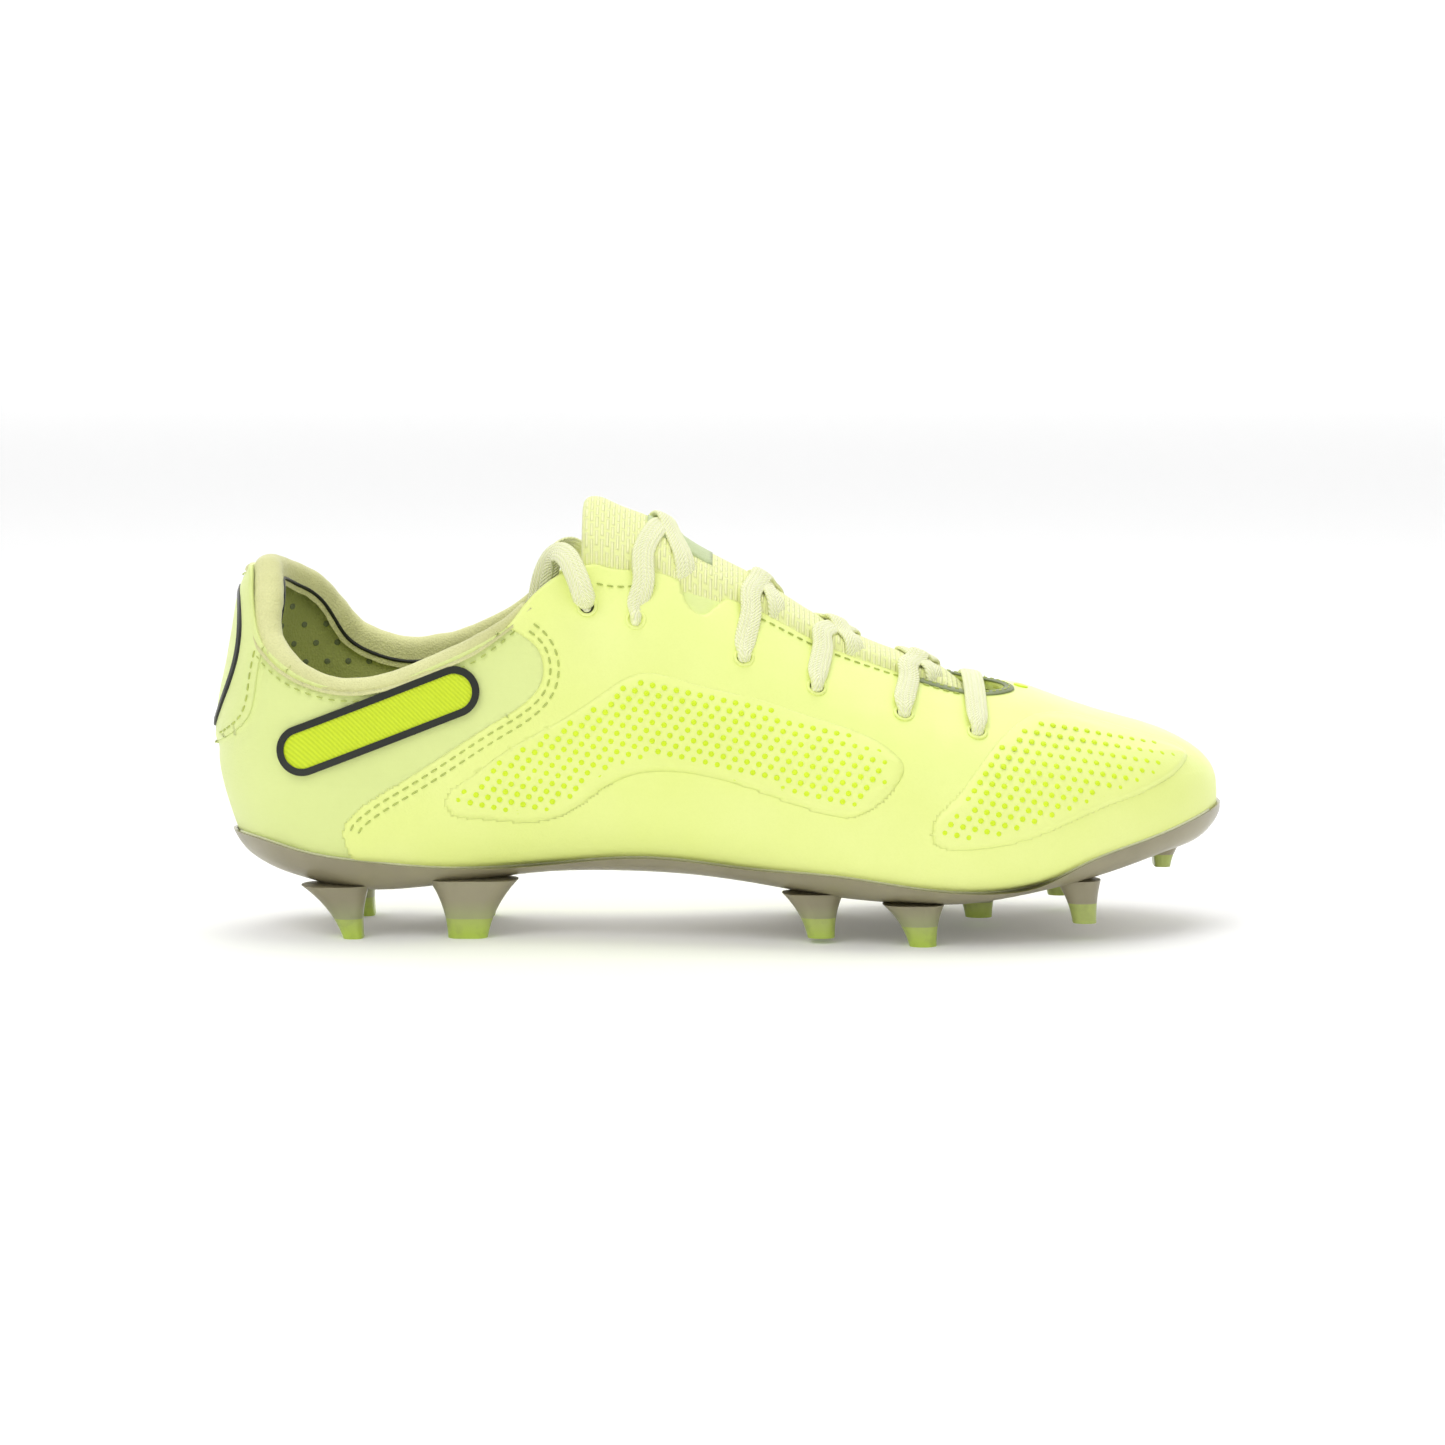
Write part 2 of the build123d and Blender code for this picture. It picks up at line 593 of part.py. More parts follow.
with BuildPart() as tongue:
    add(wing_top)
    add(wing_under, mode=Mode.SUBTRACT)
    add(tongue_pad.part)
    add(tongue_region, mode=Mode.INTERSECT)
# Plan outlines (station, y) beside the tongue where the lace passes from eyelet to eyelet
LACE_PASSAGES = (
    ((98, 13.7), (124, 13.7), (131, 17), (131, 45), (98, 45)),
    ((98, -19.6), (124, -19.6), (131, -21), (131, -45), (98, -45)),
    ((204, 17), (217, 17), (217, 45), (204, 45)),
    ((204, -21), (217, -21), (217, -45), (204, -45)),
)
with BuildPart() as lace_passages:
    with BuildSketch():
        for outline in LACE_PASSAGES:
            with BuildLine():
                Polyline(*[(s + HEEL_X, y) for s, y in outline], close=True)
            make_face()
    extrude(amount=TOP)
keep("tongue", inside_of(tongue.part, None, lace_passages.part))

# Loose ends of the lace: out of the last eyelet, over the collar into the shoe and along the sockliner
LACE_ENDS = {
    "lateral": (
        (-37.0, -25.6, 92.8), (-37.6, -29.0, 95.0), (-39.5, -28.2, 101.0), (-43.0, -22.0, 107.5),
        (-47.5, -13.5, 107.0), (-50.5, -10.5, 97.5), (-52.0, -12.0, 82.0), (-54.0, -14.5, 62.0),
        (-55.0, -15.5, 44.0), (-53.0, -15.0, 32.5), (-44.0, -13.0, 28.6), (-30.0, -10.5, 28.5),
        (-14.0, -12.0, 28.3), (2.0, -9.0, 27.5), (17.0, -12.5, 25.8), (32.0, -10.0, 23.7),
    ),
    "medial": (
        (-36.9, 20.1, 93.2), (-37.2, 23.5, 95.5), (-39.0, 23.5, 101.5), (-42.5, 18.0, 107.3),
        (-47.0, 10.0, 106.0), (-50.0, 8.5, 96.0), (-52.5, 10.5, 80.0), (-56.0, 11.5, 61.0),
        (-58.5, 12.5, 43.0), (-57.0, 12.0, 32.0), (-48.0, 10.0, 28.4), (-34.0, 12.0, 28.5),
        (-19.5, 8.5, 28.5), (-4.0, 9.5, 27.9), (11.5, 5.5, 26.3), (27.0, 7.0, 23.9),
    ),
}

# Lace, pulled tight: in at each eyelet from outside, forward under the eyestay, up beside the
# tongue's pad and across to the next eyelet of the other side
lateral_edge = through(*THROAT_LATERAL)
medial_edge = through(*reversed(THROAT_MEDIAL))
tongue_layer = Layer(bulge=TONGUE_BULGE)
wing_layer = Layer(TONGUE_WING_DEPTH, 8)
LACE_DEPTH = THICKNESS + 1.1  # middle of the lace where it runs under the eyestay
OVER = 1.7  # middle of the lace over the upper
OVER_TONGUE = 2.0  # the same over the tongue
HUMP = 4.3  # the same where it also crosses the other half of the lace
OVER_WING = 1.3  # the same over the tongue's wing, under the eyestay
CROSSING_ROWS = 4
TOE_BAR_Y = (-22.5, -12.0, 2.0, 16.0)  # middle points of the bar across the throat's toe end


def throat_edge(side, s):
    return float(lateral_edge(s) if side < 0 else medial_edge(s))


def under_eyelet(name, row):
    centre, normal = eyelets[name, row]
    return centre - normal * LACE_DEPTH


def over_eyelet(name, row):
    centre, normal = eyelets[name, row]
    return centre + normal * OVER


def crossing(name, other, row, hump):
    """From under eyelet row of one side to under the next eyelet of the other side."""
    side, far = SIDES[name], SIDES[other]
    s, goal = EYELETS[row][0], EYELETS[row + 1][0] + 2
    rise = 0.45 * s + 0.55 * EYELETS[row + 1][0]
    near_gap = throat_edge(side, rise) - side * TONGUE_GAP / 2
    far_gap = throat_edge(far, goal) - far * TONGUE_GAP / 2
    route = [under_eyelet(name, row)]
    route.append(crown_point(outer_layer, rise, throat_edge(side, rise) + side * 4, -LACE_DEPTH))
    route.append(crown_point(wing_layer, rise, near_gap, OVER_WING))
    route.append(crown_point(tongue_layer, rise, near_gap, OVER_TONGUE))
    lift = HUMP if hump else OVER_TONGUE
    for part in (0.3, 0.5, 0.7):
        s_here = rise + part * (goal - rise)
        y = near_gap + part * (far_gap - near_gap)
        route.append(crown_point(tongue_layer, s_here, y, lift))
    route.append(crown_point(tongue_layer, goal, far_gap, OVER_TONGUE))
    route.append(crown_point(outer_layer, goal, throat_edge(far, goal) + far * 4, OVER))
    route.append(over_eyelet(other, row + 1))
    return route


def half_route(first, last, hump):
    """From over the first side's toe eyelet, up the boot to that side's top eyelet."""
    names = (first, last)
    points = [over_eyelet(first, 0)]
    for row in range(CROSSING_ROWS):
        points += crossing(names[row % 2], names[(row + 1) % 2], row, hump)
    points += [under_eyelet(first, CROSSING_ROWS), under_eyelet(first, CROSSING_ROWS + 1)]
    return points + [Vector(*LACE_ENDS[first][0])]


toe_bar = [crown_point(outer_layer, EYELETS[0][0], y, OVER) for y in TOE_BAR_Y]
route = half_route("lateral", "medial", False)[::-1] + toe_bar + half_route("medial", "lateral", True)


def corner_radii(points, share=0.45, largest=1e9):
    """The largest tangent arc that the two runs at each corner allow."""
    radii = []
    for before, corner, after in zip(points, points[1:], points[2:]):
        runs = (before - corner).length, (after - corner).length
        turn = math.radians((corner - before).get_angle(after - corner))
        radii.append(min(share * min(runs) / math.tan(turn / 2), largest))
    return radii


def tube(points, radius, radii):
    with BuildPart() as cord:
        with BuildLine():
            path = FilletPolyline(*points, radius=radii)
        with BuildSketch(Plane(origin=path @ 0, z_dir=path % 0)):
            Circle(radius)
        sweep()
    ratio = cord.part.volume / (math.pi * radius**2 * path.length)
    print("tube", round(path.length), "mm, volume ratio", round(ratio, 3))
    return cord.part


radii = corner_radii(route, largest=3.5)
keep("lace", tube(route, LACE_RADIUS, radii))

for name, points in LACE_ENDS.items():
    points = [Vector(*p) for p in points]
    radii = corner_radii(points)
    print("loose end", name, "radii", [round(r, 1) for r in radii])
    keep("lace_end_" + name, tube(points, LACE_END_RADIUS, radii))
    with BuildPart() as aglet:
        with BuildSketch(Plane(origin=points[-1], z_dir=(points[-1] - points[-2]).normalized())):
            Circle(AGLET_RADIUS)
        extrude(amount=AGLET_LENGTH)
    keep("aglet_" + name, aglet.part)

os.makedirs("parts", exist_ok=True)
for name, part in pieces.items():
    print(name, part.is_valid, len(part.solids()), round(part.volume))
    export_step(part, "parts/" + name + ".step")
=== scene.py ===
"""Looks of the right football boot: skins, knit, laces, sole plate and studs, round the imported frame.

Lengths are in millimetres until a mesh is made, +X to the toe, +Y medial, +Z up. A station s is
measured from the heel.
"""

import math

import bpy
import numpy as np
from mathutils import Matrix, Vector, noise


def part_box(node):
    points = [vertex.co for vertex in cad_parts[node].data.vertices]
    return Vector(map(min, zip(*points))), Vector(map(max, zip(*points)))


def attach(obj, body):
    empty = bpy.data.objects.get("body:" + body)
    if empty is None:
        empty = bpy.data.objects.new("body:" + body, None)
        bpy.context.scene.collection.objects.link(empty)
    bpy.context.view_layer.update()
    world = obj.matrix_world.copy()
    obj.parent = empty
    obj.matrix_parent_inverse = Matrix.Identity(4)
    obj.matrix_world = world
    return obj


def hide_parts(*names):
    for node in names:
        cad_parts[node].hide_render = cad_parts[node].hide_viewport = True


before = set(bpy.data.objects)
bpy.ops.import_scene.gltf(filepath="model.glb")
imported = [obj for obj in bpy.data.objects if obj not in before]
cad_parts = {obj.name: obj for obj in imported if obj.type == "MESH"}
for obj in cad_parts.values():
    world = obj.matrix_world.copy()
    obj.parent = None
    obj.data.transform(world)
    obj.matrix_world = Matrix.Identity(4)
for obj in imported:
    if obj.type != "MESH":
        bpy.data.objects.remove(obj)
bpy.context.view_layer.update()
MM = 0.001

# ---------------------------------------------------------------- shape of the last, as in the frame
LENGTH = 283.0
HEEL_X = -142.0
HEEL_RADIUS = 34.0
TOE_START = 205.0
CAP_START = 255.0
PLATE_WALL = 2.2
TONGUE_BULGE = 1.6
SIDES = {"lateral": -1, "medial": 1}


def through(*points):
    """Natural cubic spline through (x, y) points, level beyond both ends."""
    x = np.array([p[0] for p in points], float)
    y = np.array([p[1] for p in points], float)
    h = np.diff(x)
    count = len(x)
    left = np.eye(count)
    right = np.zeros(count)
    for i in range(1, count - 1):
        left[i, i - 1 : i + 2] = h[i - 1], 2 * (h[i - 1] + h[i]), h[i]
        right[i] = 6 * ((y[i + 1] - y[i]) / h[i] - (y[i] - y[i - 1]) / h[i - 1])
    bend = np.linalg.solve(left, right)

    def curve(value):
        value = np.clip(np.asarray(value, float), x[0], x[-1])
        i = np.clip(np.searchsorted(x, value) - 1, 0, count - 2)
        before, after, step = x[i + 1] - value, value - x[i], h[i]
        cubic = (bend[i] * before**3 + bend[i + 1] * after**3) / (6 * step)
        start, end = y[i] / step - bend[i] * step / 6, y[i + 1] / step - bend[i + 1] * step / 6
        return cubic + (start * before + end * after)

    return curve


def smooth(value, start, end):
    t = np.clip((value - start) / (end - start), 0, 1)
    return t * t * (3 - 2 * t)


def unit(vectors):
    return vectors / np.maximum(np.linalg.norm(vectors, axis=-1, keepdims=True), 1e-9)


def run_along(points):
    """Length of the line from its first point to each of its points."""
    return np.concatenate([[0], np.cumsum(np.linalg.norm(np.diff(points, axis=0), axis=1))])


def between(at, run, rows):
    """Rows of numbers that belong to the lengths in run, read off at other lengths."""
    return np.stack([np.interp(at, run, rows[:, k]) for k in range(rows.shape[1])], -1)


half_width = through(
    (0, 33), (45, 33.2), (80, 31), (110, 30), (140, 34), (170, 41.5), (190, 46.5), (205, 48.3), (230, 48.5),
    (284, 48.5)
)
middle = through(
    (0, 0), (50, 0), (80, -1), (110, -4), (140, -5), (170, -3.5), (190, -1.5), (205, 0), (230, 2.2),
    (250, 4.5), (265, 7), (284, 11),
)
ridge = through((0, 0), (100, 0), (146, 1), (190, 4), (220, 7), (250, 9), (284, 11))
crest = through(
    (0, 133), (60, 133), (90, 127), (104, 121.5), (111, 118), (125, 112), (135, 105.5), (152, 96.7),
    (165, 88), (182, 79.4), (199, 73.3), (213, 70), (226, 68.4), (240, 63.6), (257, 58.4), (284, 51.5),
)
widest = through(
    (0, 52), (60, 50), (110, 44), (150, 38), (190, 31), (215, 29.5), (240, 31), (260, 33.5), (284, 36.5)
)
tuck = through((0, 0.10), (60, 0.12), (110, 0.2), (150, 0.14), (190, 0.06), (284, 0.04))
arch = through((0, 1.3), (60, 1.3), (110, 1.1), (160, 1.1), (200, 1.02), (240, 0.95), (284, 0.9))
heel_line = through(
    (10, 15), (20, 9), (26, 6.2), (35, 3.1), (44, 0.8), (53, 0), (64, 0.6), (74, 2.6), (86, 4.8), (95, 6.8),
    (103, 10), (112, 14), (133, 24),
)
underside = through(
    (0, 26), (8, 22.5), (13, 19.5), (20, 17), (30, 14), (42, 12.5), (60, 13), (84, 16.3), (100, 17.5),
    (120, 17.5), (140, 16.3), (158, 13.8), (176, 11.2), (195, 10), (208, 9.9), (224, 12), (240, 15.3),
    (256, 19.3), (270, 23), (279, 26.3), (284, 31),
)
rim = through(
    (-3, 29), (6.5, 28), (13.5, 27.4), (23, 25.2), (33, 23.3), (45, 21.9), (59, 20.3), (78, 19.6),
    (91, 20.2), (113, 22.7), (125, 23), (149, 20.8), (172, 19.8), (184, 18.4), (196, 16.6), (209, 15.3),
    (218, 15), (225, 15.4), (231, 16.9), (236.5, 19.8), (247.5, 24.6), (257, 27.2), (267, 29.9),
    (276.6, 32.7), (288, 36),
)


class Layer:
    """A closed surface inside the boot's outer one: its inset, its floor and its ankle padding."""

    def __init__(self, inset=0.0, floor_rise=0.0, padding=0.0, bulge=0.0):
        self.inset = inset
        self.floor_rise = floor_rise
        self.padding = padding
        self.bulge = bulge

    def floor(self, s):
        end = LENGTH - self.inset
        fade = np.sqrt(1 - np.clip((s - 225) / (end - 225), 0, 1) ** 2)
        return underside(s) + PLATE_WALL + self.inset + (self.floor_rise - self.inset) * fade

    def top(self, s):
        end = LENGTH - self.inset
        cap = np.clip((s - CAP_START) / (end - CAP_START), 0, 1)
        lift = self.bulge * (1 - smooth(s, 200, 216)) - 5 * smooth(s, 200, 218) * (self.bulge > 0)
        return widest(s) + (crest(s) - self.inset + lift - widest(s)) * (1 - cap**3) ** (1 / 3)

    def depth(self, s, z):
        return self.inset + self.padding * smooth(z, 50, 68) * (1 - smooth(s, 62, 96))

    def half(self, s, z, side):
        depth, floor, top = self.depth(s, z), self.floor(s), self.top(s)
        toe = np.clip((s - TOE_START) / (LENGTH - self.inset - TOE_START), 0, 1)
        edge = middle(s) + side * (half_width(s) - depth) * np.sqrt(1 - toe**2)
        reach = np.maximum(side * (edge - ridge(s)), 0)
        heel = np.clip((s - heel_line(z) - depth) / (HEEL_RADIUS - depth), 0, 1)
        up = np.clip((z - widest(s)) / (top - widest(s)), 0, 1)
        down = np.clip((widest(s) - z) / (widest(s) - floor), 0, 1)
        above = (1 - up**2) ** (arch(s) / 2)
        below = (1 - tuck(s) * down**2) * (1 - down**5) ** 0.2
        return reach * np.where(z >= widest(s), above, below) * np.sqrt(1 - (1 - heel) ** 2)

    def start(self):
        z = np.linspace(40, 60, 201)
        return float(np.min(heel_line(z) + self.depth(0, z)))

    def grid(self, rows, columns):
        """Points (rows, 2 * columns + 1, 3), each row from the floor's lateral edge to the medial one."""
        even = np.linspace(0, 1, rows)
        ends = (1 - np.cos(np.pi * even)) / 2
        share = 0.00001 + 0.9998 * (0.45 * even**1.3 + 0.55 * ends)
        stations = self.start() + share * (LENGTH - self.inset - self.start())
        out = np.zeros((rows, 2 * columns + 1, 3))
        for i, s in enumerate(stations):
            z = self.floor(s) + (self.top(s) - self.floor(s)) * (1 - np.cos(np.linspace(0, np.pi, 2401))) / 2
            clear = s - heel_line(z) - self.depth(s, z)
            first = last = int(np.argmax(clear)) if s < HEEL_RADIUS else 1200
            while first > 0 and clear[first - 1] > 0:
                first -= 1
            while last < 2400 and clear[last + 1] > 0:
                last += 1
            z = z[first : last + 1]
            halves = []
            for side in (-1, 1):
                y = ridge(s) + side * self.half(s, z, side)
                y[0] = y[-1] = ridge(s)
                run = np.concatenate([[0], np.cumsum(np.hypot(np.diff(y), np.diff(z)))])
                low = np.interp(self.floor(s) + 1.0, z, run) if first == 0 else 0.0
                steps = low + (run[-1] - low) * np.linspace(0, 1, columns + 1)
                halves.append(np.stack([np.interp(steps, run, y), np.interp(steps, run, z)], 1))
            out[i, :, 0] = s + HEEL_X
            out[i, :, 1:] = np.concatenate([halves[0], halves[1][-2::-1]])
        return out

    def wall(self, s, z, side):
        return float(ridge(s) + side * self.half(s, z, side))

    def crown(self, s, y):
        side = -1 if y < ridge(s) else 1
        z = np.linspace(float(widest(s)), float(self.top(s)), 500)
        reach = ridge(s) + side * self.half(s, z, side)
        order = np.argsort(reach)
        return float(np.interp(y, reach[order], z[order]))

    def over(self, s, y, lift):
        """A point above the upper face, lift away square to its slope across the boot."""
        slope = (self.crown(s, y + 1) - self.crown(s, y - 1)) / 2
        return Vector((s + HEEL_X, y, self.crown(s, y) + lift * math.hypot(1, slope)))

    def out_of_wall(self, s, z, side):
        """Point and outward normal on the side wall."""
        here = Vector((s + HEEL_X, self.wall(s, z, side), z))
        along = Vector((2, self.wall(s + 1, z, side) - self.wall(s - 1, z, side), 0))
        up = Vector((0, self.wall(s, z + 1, side) - self.wall(s, z - 1, side), 2))
        normal = (up.cross(along) if side > 0 else along.cross(up)).normalized()
        return here, normal


outer_layer = Layer()
foot_layer = Layer(3.5, 6.3, 4.2)
tongue_layer = Layer(bulge=TONGUE_BULGE)

# ---------------------------------------------------------------- outlines of the pieces
BACK_TOPLINE = through(
    (-34, 75), (-28, 78), (-24, 82), (-19, 88.5), (-15, 94.8), (-10, 101), (-5, 104.6), (0, 105.3),
    (5, 105.2), (10, 104.4), (15, 103), (20, 101.3), (26, 99), (34, 96.5),
)
LATERAL_TOPLINE = through(
    (12, 92), (20, 80.5), (25, 76.9), (32.7, 74), (39.6, 73), (46, 73.6), (52, 75), (62.2, 79), (70, 82.4),
    (77.8, 86.4), (85.5, 91.6), (93, 98.4), (104.8, 103.7), (114, 104),
)
MEDIAL_TOPLINE = through(
    (12, 103), (20, 101.3), (23.3, 99.5), (27.3, 96), (31.4, 91.5), (35.4, 87.3), (39.4, 84.2),
    (44.2, 81.9), (48.6, 80.5), (54.7, 79.8), (60.8, 80.6), (67.5, 82), (77, 86), (85.5, 91), (93, 97.5),
    (104.8, 103.4), (114, 104),
)
THROAT_LATERAL = (
    (104, -19.5), (113, -19.5), (125, -18), (147, -16), (166, -14.3), (183, -13), (196, -12.7), (205, -13),
    (213, -12.3), (219, -9.5), (222, -5),
)
THROAT_MEDIAL = (
    (222, -5), (219, 1), (212, 5), (203, 7.6), (190, 9.8), (166, 12), (147, 13.5), (125, 16), (113, 18.5),
    (104, 19),
)
NOTCH = ((130.5, 17.4), (131.8, 20.8), (134, 22.6), (137, 22.8), (139.6, 20.8), (143.5, 16.4))
QUARTER_SEAM = (
    (78.3, 87), (82.8, 86.8), (87.2, 84.8), (91, 81.7), (93, 76.6), (92.2, 71.5), (88.6, 67), (79.5, 61),
    (67, 53), (54.3, 44.9), (41.5, 36.5), (38.2, 32.5), (37.9, 28), (39.1, 24.7), (40.8, 18),
)
HEEL_SEAM = ((18, 88), (14.7, 79.8), (12.8, 70), (10.8, 62), (5, 56.5), (-3, 51))
MIDFOOT_POD = (
    (67, 36), (66, 40), (71.7, 45.2), (78.6, 50.4), (85.9, 55.2), (98.6, 62.2), (109, 69), (119.9, 74.7),
    (134, 72), (148.4, 68.8), (165.5, 63.6), (181.5, 58.3), (189, 54), (192, 50), (189.5, 44.7),
    (183.4, 38.9), (177.9, 36.4), (171.8, 36.9), (156.3, 41.6), (144.4, 45.5), (132.8, 47.7), (117.3, 46.8),
    (109.6, 42.9), (97.4, 34.9), (87.7, 33.2), (73.1, 34.3),
)
FOREFOOT_POD = (
    (228, 62), (219, 56.8), (209.5, 46), (204.2, 40.2), (199.5, 34.5), (200, 29.5), (205, 27.8),
    (217, 28.3), (229.7, 31.5), (248.8, 38.5), (262.7, 42.5), (273, 49.5), (262, 55), (246, 60),
)


def eased(points, closed=False, step=0.6):
    """Points every step millimetres along a smooth line through the given ones."""
    p = np.array(points, float)
    if closed:
        p = np.concatenate([p[-3:], p, p[:3]])
    run = run_along(p)
    curves = [through(*zip(run, p[:, k])) for k in range(p.shape[1])]
    first, last = (run[3], run[-3]) if closed else (0, run[-1])
    at = np.linspace(first, last, max(2, int((last - first) / step)))
    return np.stack([c(at) for c in curves], 1)


def signed(points, outline):
    """Signed distance of 2-D points (..., 2) from a closed outline: positive inside."""
    flat = points.reshape(-1, 2)
    a, b = outline, np.roll(outline, -1, axis=0)
    best = np.full(len(flat), 1e9)
    inside = np.zeros(len(flat), bool)
    for p, q in zip(a, b):
        d = q - p
        length = max(float(d @ d), 1e-9)
        t = np.clip(((flat - p) @ d) / length, 0, 1)
        best = np.minimum(best, ((flat - p - t[:, None] * d) ** 2).sum(1))
        if p[1] != q[1]:
            crosses = (flat[:, 1] < p[1]) != (flat[:, 1] < q[1])
            inside ^= crosses & (flat[:, 0] < (q[0] - p[0]) * (flat[:, 1] - p[1]) / (q[1] - p[1]) + p[0])
    return np.where(inside, 1, -1).reshape(points.shape[:-1]) * np.sqrt(best).reshape(points.shape[:-1])


def side_view(points):
    return np.stack([points[..., 0] - HEEL_X, points[..., 2]], -1)


def plan_view(points):
    return np.stack([points[..., 0] - HEEL_X, points[..., 1]], -1)


def topline(points):
    """Height of the collar's rim for each point."""
    s, y = points[..., 0] - HEEL_X, points[..., 1]
    side = np.where(y < 0, LATERAL_TOPLINE(s), MEDIAL_TOPLINE(s))
    mix = smooth(s, 13, 24)
    return BACK_TOPLINE(y) * (1 - mix) + side * mix


def throat_outline():
    lateral, medial = eased(THROAT_LATERAL), eased(THROAT_MEDIAL)
    cut = eased(NOTCH)
    lateral = np.concatenate([lateral[lateral[:, 0] < 130], cut * (1, -1), lateral[lateral[:, 0] > 144]])
    far = cut[::-1] * (1, 0.92)
    medial = np.concatenate([medial[medial[:, 0] > 144], far, medial[medial[:, 0] < 130]])
    return np.concatenate([[(80, -19.5)], lateral, medial[1:], [(80, 19)]])


QUARTER = np.concatenate([eased(QUARTER_SEAM, step=1.0), [(40.8, -9), (-30, -9), (-30, 150), (78.3, 150)]])
HEEL = np.concatenate([eased(HEEL_SEAM, step=1.0), [(-30, 51), (-30, 150), (18, 150)]])
THROAT = throat_outline()
MIDFOOT = eased(MIDFOOT_POD, closed=True, step=1.5)
FOREFOOT = eased(FOREFOOT_POD, closed=True, step=1.5)

# ---------------------------------------------------------------- materials


def linear(colour):
    return [(c / 255 / 12.92 if c <= 10 else ((c / 255 + 0.055) / 1.055) ** 2.4) for c in colour] + [1.0]


class Shading:
    """A small helper round one material's node tree."""

    def __init__(self, name, roughness=0.5, **sockets):
        self.material = bpy.data.materials.new(name)
        self.material.use_nodes = True
        self.nodes = self.material.node_tree.nodes
        self.links = self.material.node_tree.links
        self.shader = self.nodes["Principled BSDF"]
        for socket, value in {"Roughness": roughness, **sockets}.items():
            self.shader.inputs[socket.replace("_", " ")].default_value = value
        self.place = self.nodes.new("ShaderNodeTexCoord").outputs["Object"]

    def feed(self, socket, value):
        """Links another node's output to a socket, or sets a constant on it."""
        if isinstance(value, bpy.types.NodeSocket):
            self.links.new(value, socket)
        else:
            socket.default_value = value

    def node(self, kind, inputs=(), **settings):
        made = self.nodes.new("ShaderNode" + kind)
        for key, value in settings.items():
            setattr(made, key, value)
        for key, value in dict(inputs).items():
            self.feed(made.inputs[key], value)
        return made

    def noise(self, scale, detail=4.0, roughness=0.55, place=None):
        inputs = {"Vector": place or self.place, "Scale": scale, "Detail": detail, "Roughness": roughness}
        return self.node("TexNoise", inputs).outputs["Fac"]

    def wave(self, ribs, direction, **inputs):
        inputs = {key.replace("_", " "): value for key, value in inputs.items()}
        inputs.update({"Vector": self.stretched(ribs), "Scale": 1.0})
        return self.node("TexWave", inputs, bands_direction=direction).outputs["Fac"]

    def stretched(self, scale):
        return self.node("Mapping", {"Vector": self.place, "Scale": scale}).outputs["Vector"]

    def height(self):
        return self.node("SeparateXYZ", {"Vector": self.place}).outputs["Z"]

    def math(self, operation, a, b=0.0):
        made = self.node("Math", operation=operation)
        self.feed(made.inputs[0], a)
        self.feed(made.inputs[1], b)
        return made.outputs[0]

    def ramp(self, value, low, high, start=0.0, end=1.0):
        inputs = {"Value": value, "From Min": low, "From Max": high, "To Min": start, "To Max": end}
        return self.node("MapRange", inputs).outputs["Result"]

    def mix(self, factor, a, b, share=None):
        """Colour a going over to b by a factor, or by a share of that factor."""
        if share is not None:
            factor = self.math("MULTIPLY", factor, share)
        made = self.node("Mix", data_type="RGBA")
        colours = [s for s in made.inputs if s.type == "RGBA"]
        self.feed(made.inputs["Factor"], factor)
        for socket, colour in zip(colours, (a, b)):
            self.feed(socket, linear(colour) if isinstance(colour, tuple) else colour)
        return [s for s in made.outputs if s.type == "RGBA"][0]

    def colour(self, socket):
        self.feed(self.shader.inputs["Base Color"], socket)

    def rough(self, value, low, high):
        self.feed(self.shader.inputs["Roughness"], self.ramp(value, 0.3, 0.7, low, high))

    def bump(self, *heights):
        """Chained bumps, each (height socket, strength, distance in metres)."""
        chain = {}
        for height, strength, distance in heights:
            inputs = {"Height": height, "Strength": strength, "Distance": distance, **chain}
            chain = {"Normal": self.node("Bump", inputs).outputs["Normal"]}
        self.feed(self.shader.inputs["Normal"], chain["Normal"])


def vamp_leather():
    m = Shading("vamp_leather", 0.42, Specular_IOR_Level=0.45, Sheen_Weight=0.08)
    grain = m.node("TexVoronoi", {"Vector": m.place, "Scale": 900.0}, feature="DISTANCE_TO_EDGE")
    fine, broad = m.noise(1500.0), m.noise(22.0, 3.0)
    creases = m.noise(90.0, 5.0, 0.6, m.stretched((1.0, 1.0, 0.35)))
    base = m.mix(m.ramp(broad, 0.35, 0.7), (240, 251, 148), (245, 254, 160))
    m.colour(m.mix(m.ramp(fine, 0.45, 0.75), base, (226, 242, 128), 0.12))
    m.rough(broad, 0.36, 0.48)
    pores = m.ramp(grain.outputs["Distance"], 0.0, 0.25)
    m.bump((pores, 0.10, 0.0002), (creases, 0.25, 0.0006), (fine, 0.10, 0.0002))
    return m.material


def coated_textile(name, base, dark, ribs):
    m = Shading(name, 0.6, Sheen_Weight=0.25)
    rows = m.wave(ribs, "Z", Distortion=1.2, Detail=2.0, Detail_Scale=2.0)
    fine, broad = m.noise(1200.0), m.noise(25.0, 3.0)
    m.colour(m.mix(m.ramp(broad, 0.4, 0.7), m.mix(rows, base, dark, 0.35), dark, 0.25))
    m.rough(fine, 0.52, 0.68)
    m.bump((rows, 0.35, 0.0003), (fine, 0.3, 0.0003))
    return m.material


def plain_textile(name, base, dark, weave):
    m = Shading(name, 0.8, Sheen_Weight=0.3)
    threads = m.node("TexVoronoi", {"Vector": m.place, "Scale": weave}).outputs["Distance"]
    broad = m.noise(30.0, 4.0)
    m.colour(m.mix(m.ramp(threads, 0.2, 0.8), m.mix(m.ramp(broad, 0.35, 0.7), base, dark), dark, 0.3))
    m.bump((threads, 0.5, 0.0004), (broad, 0.2, 0.001))
    return m.material


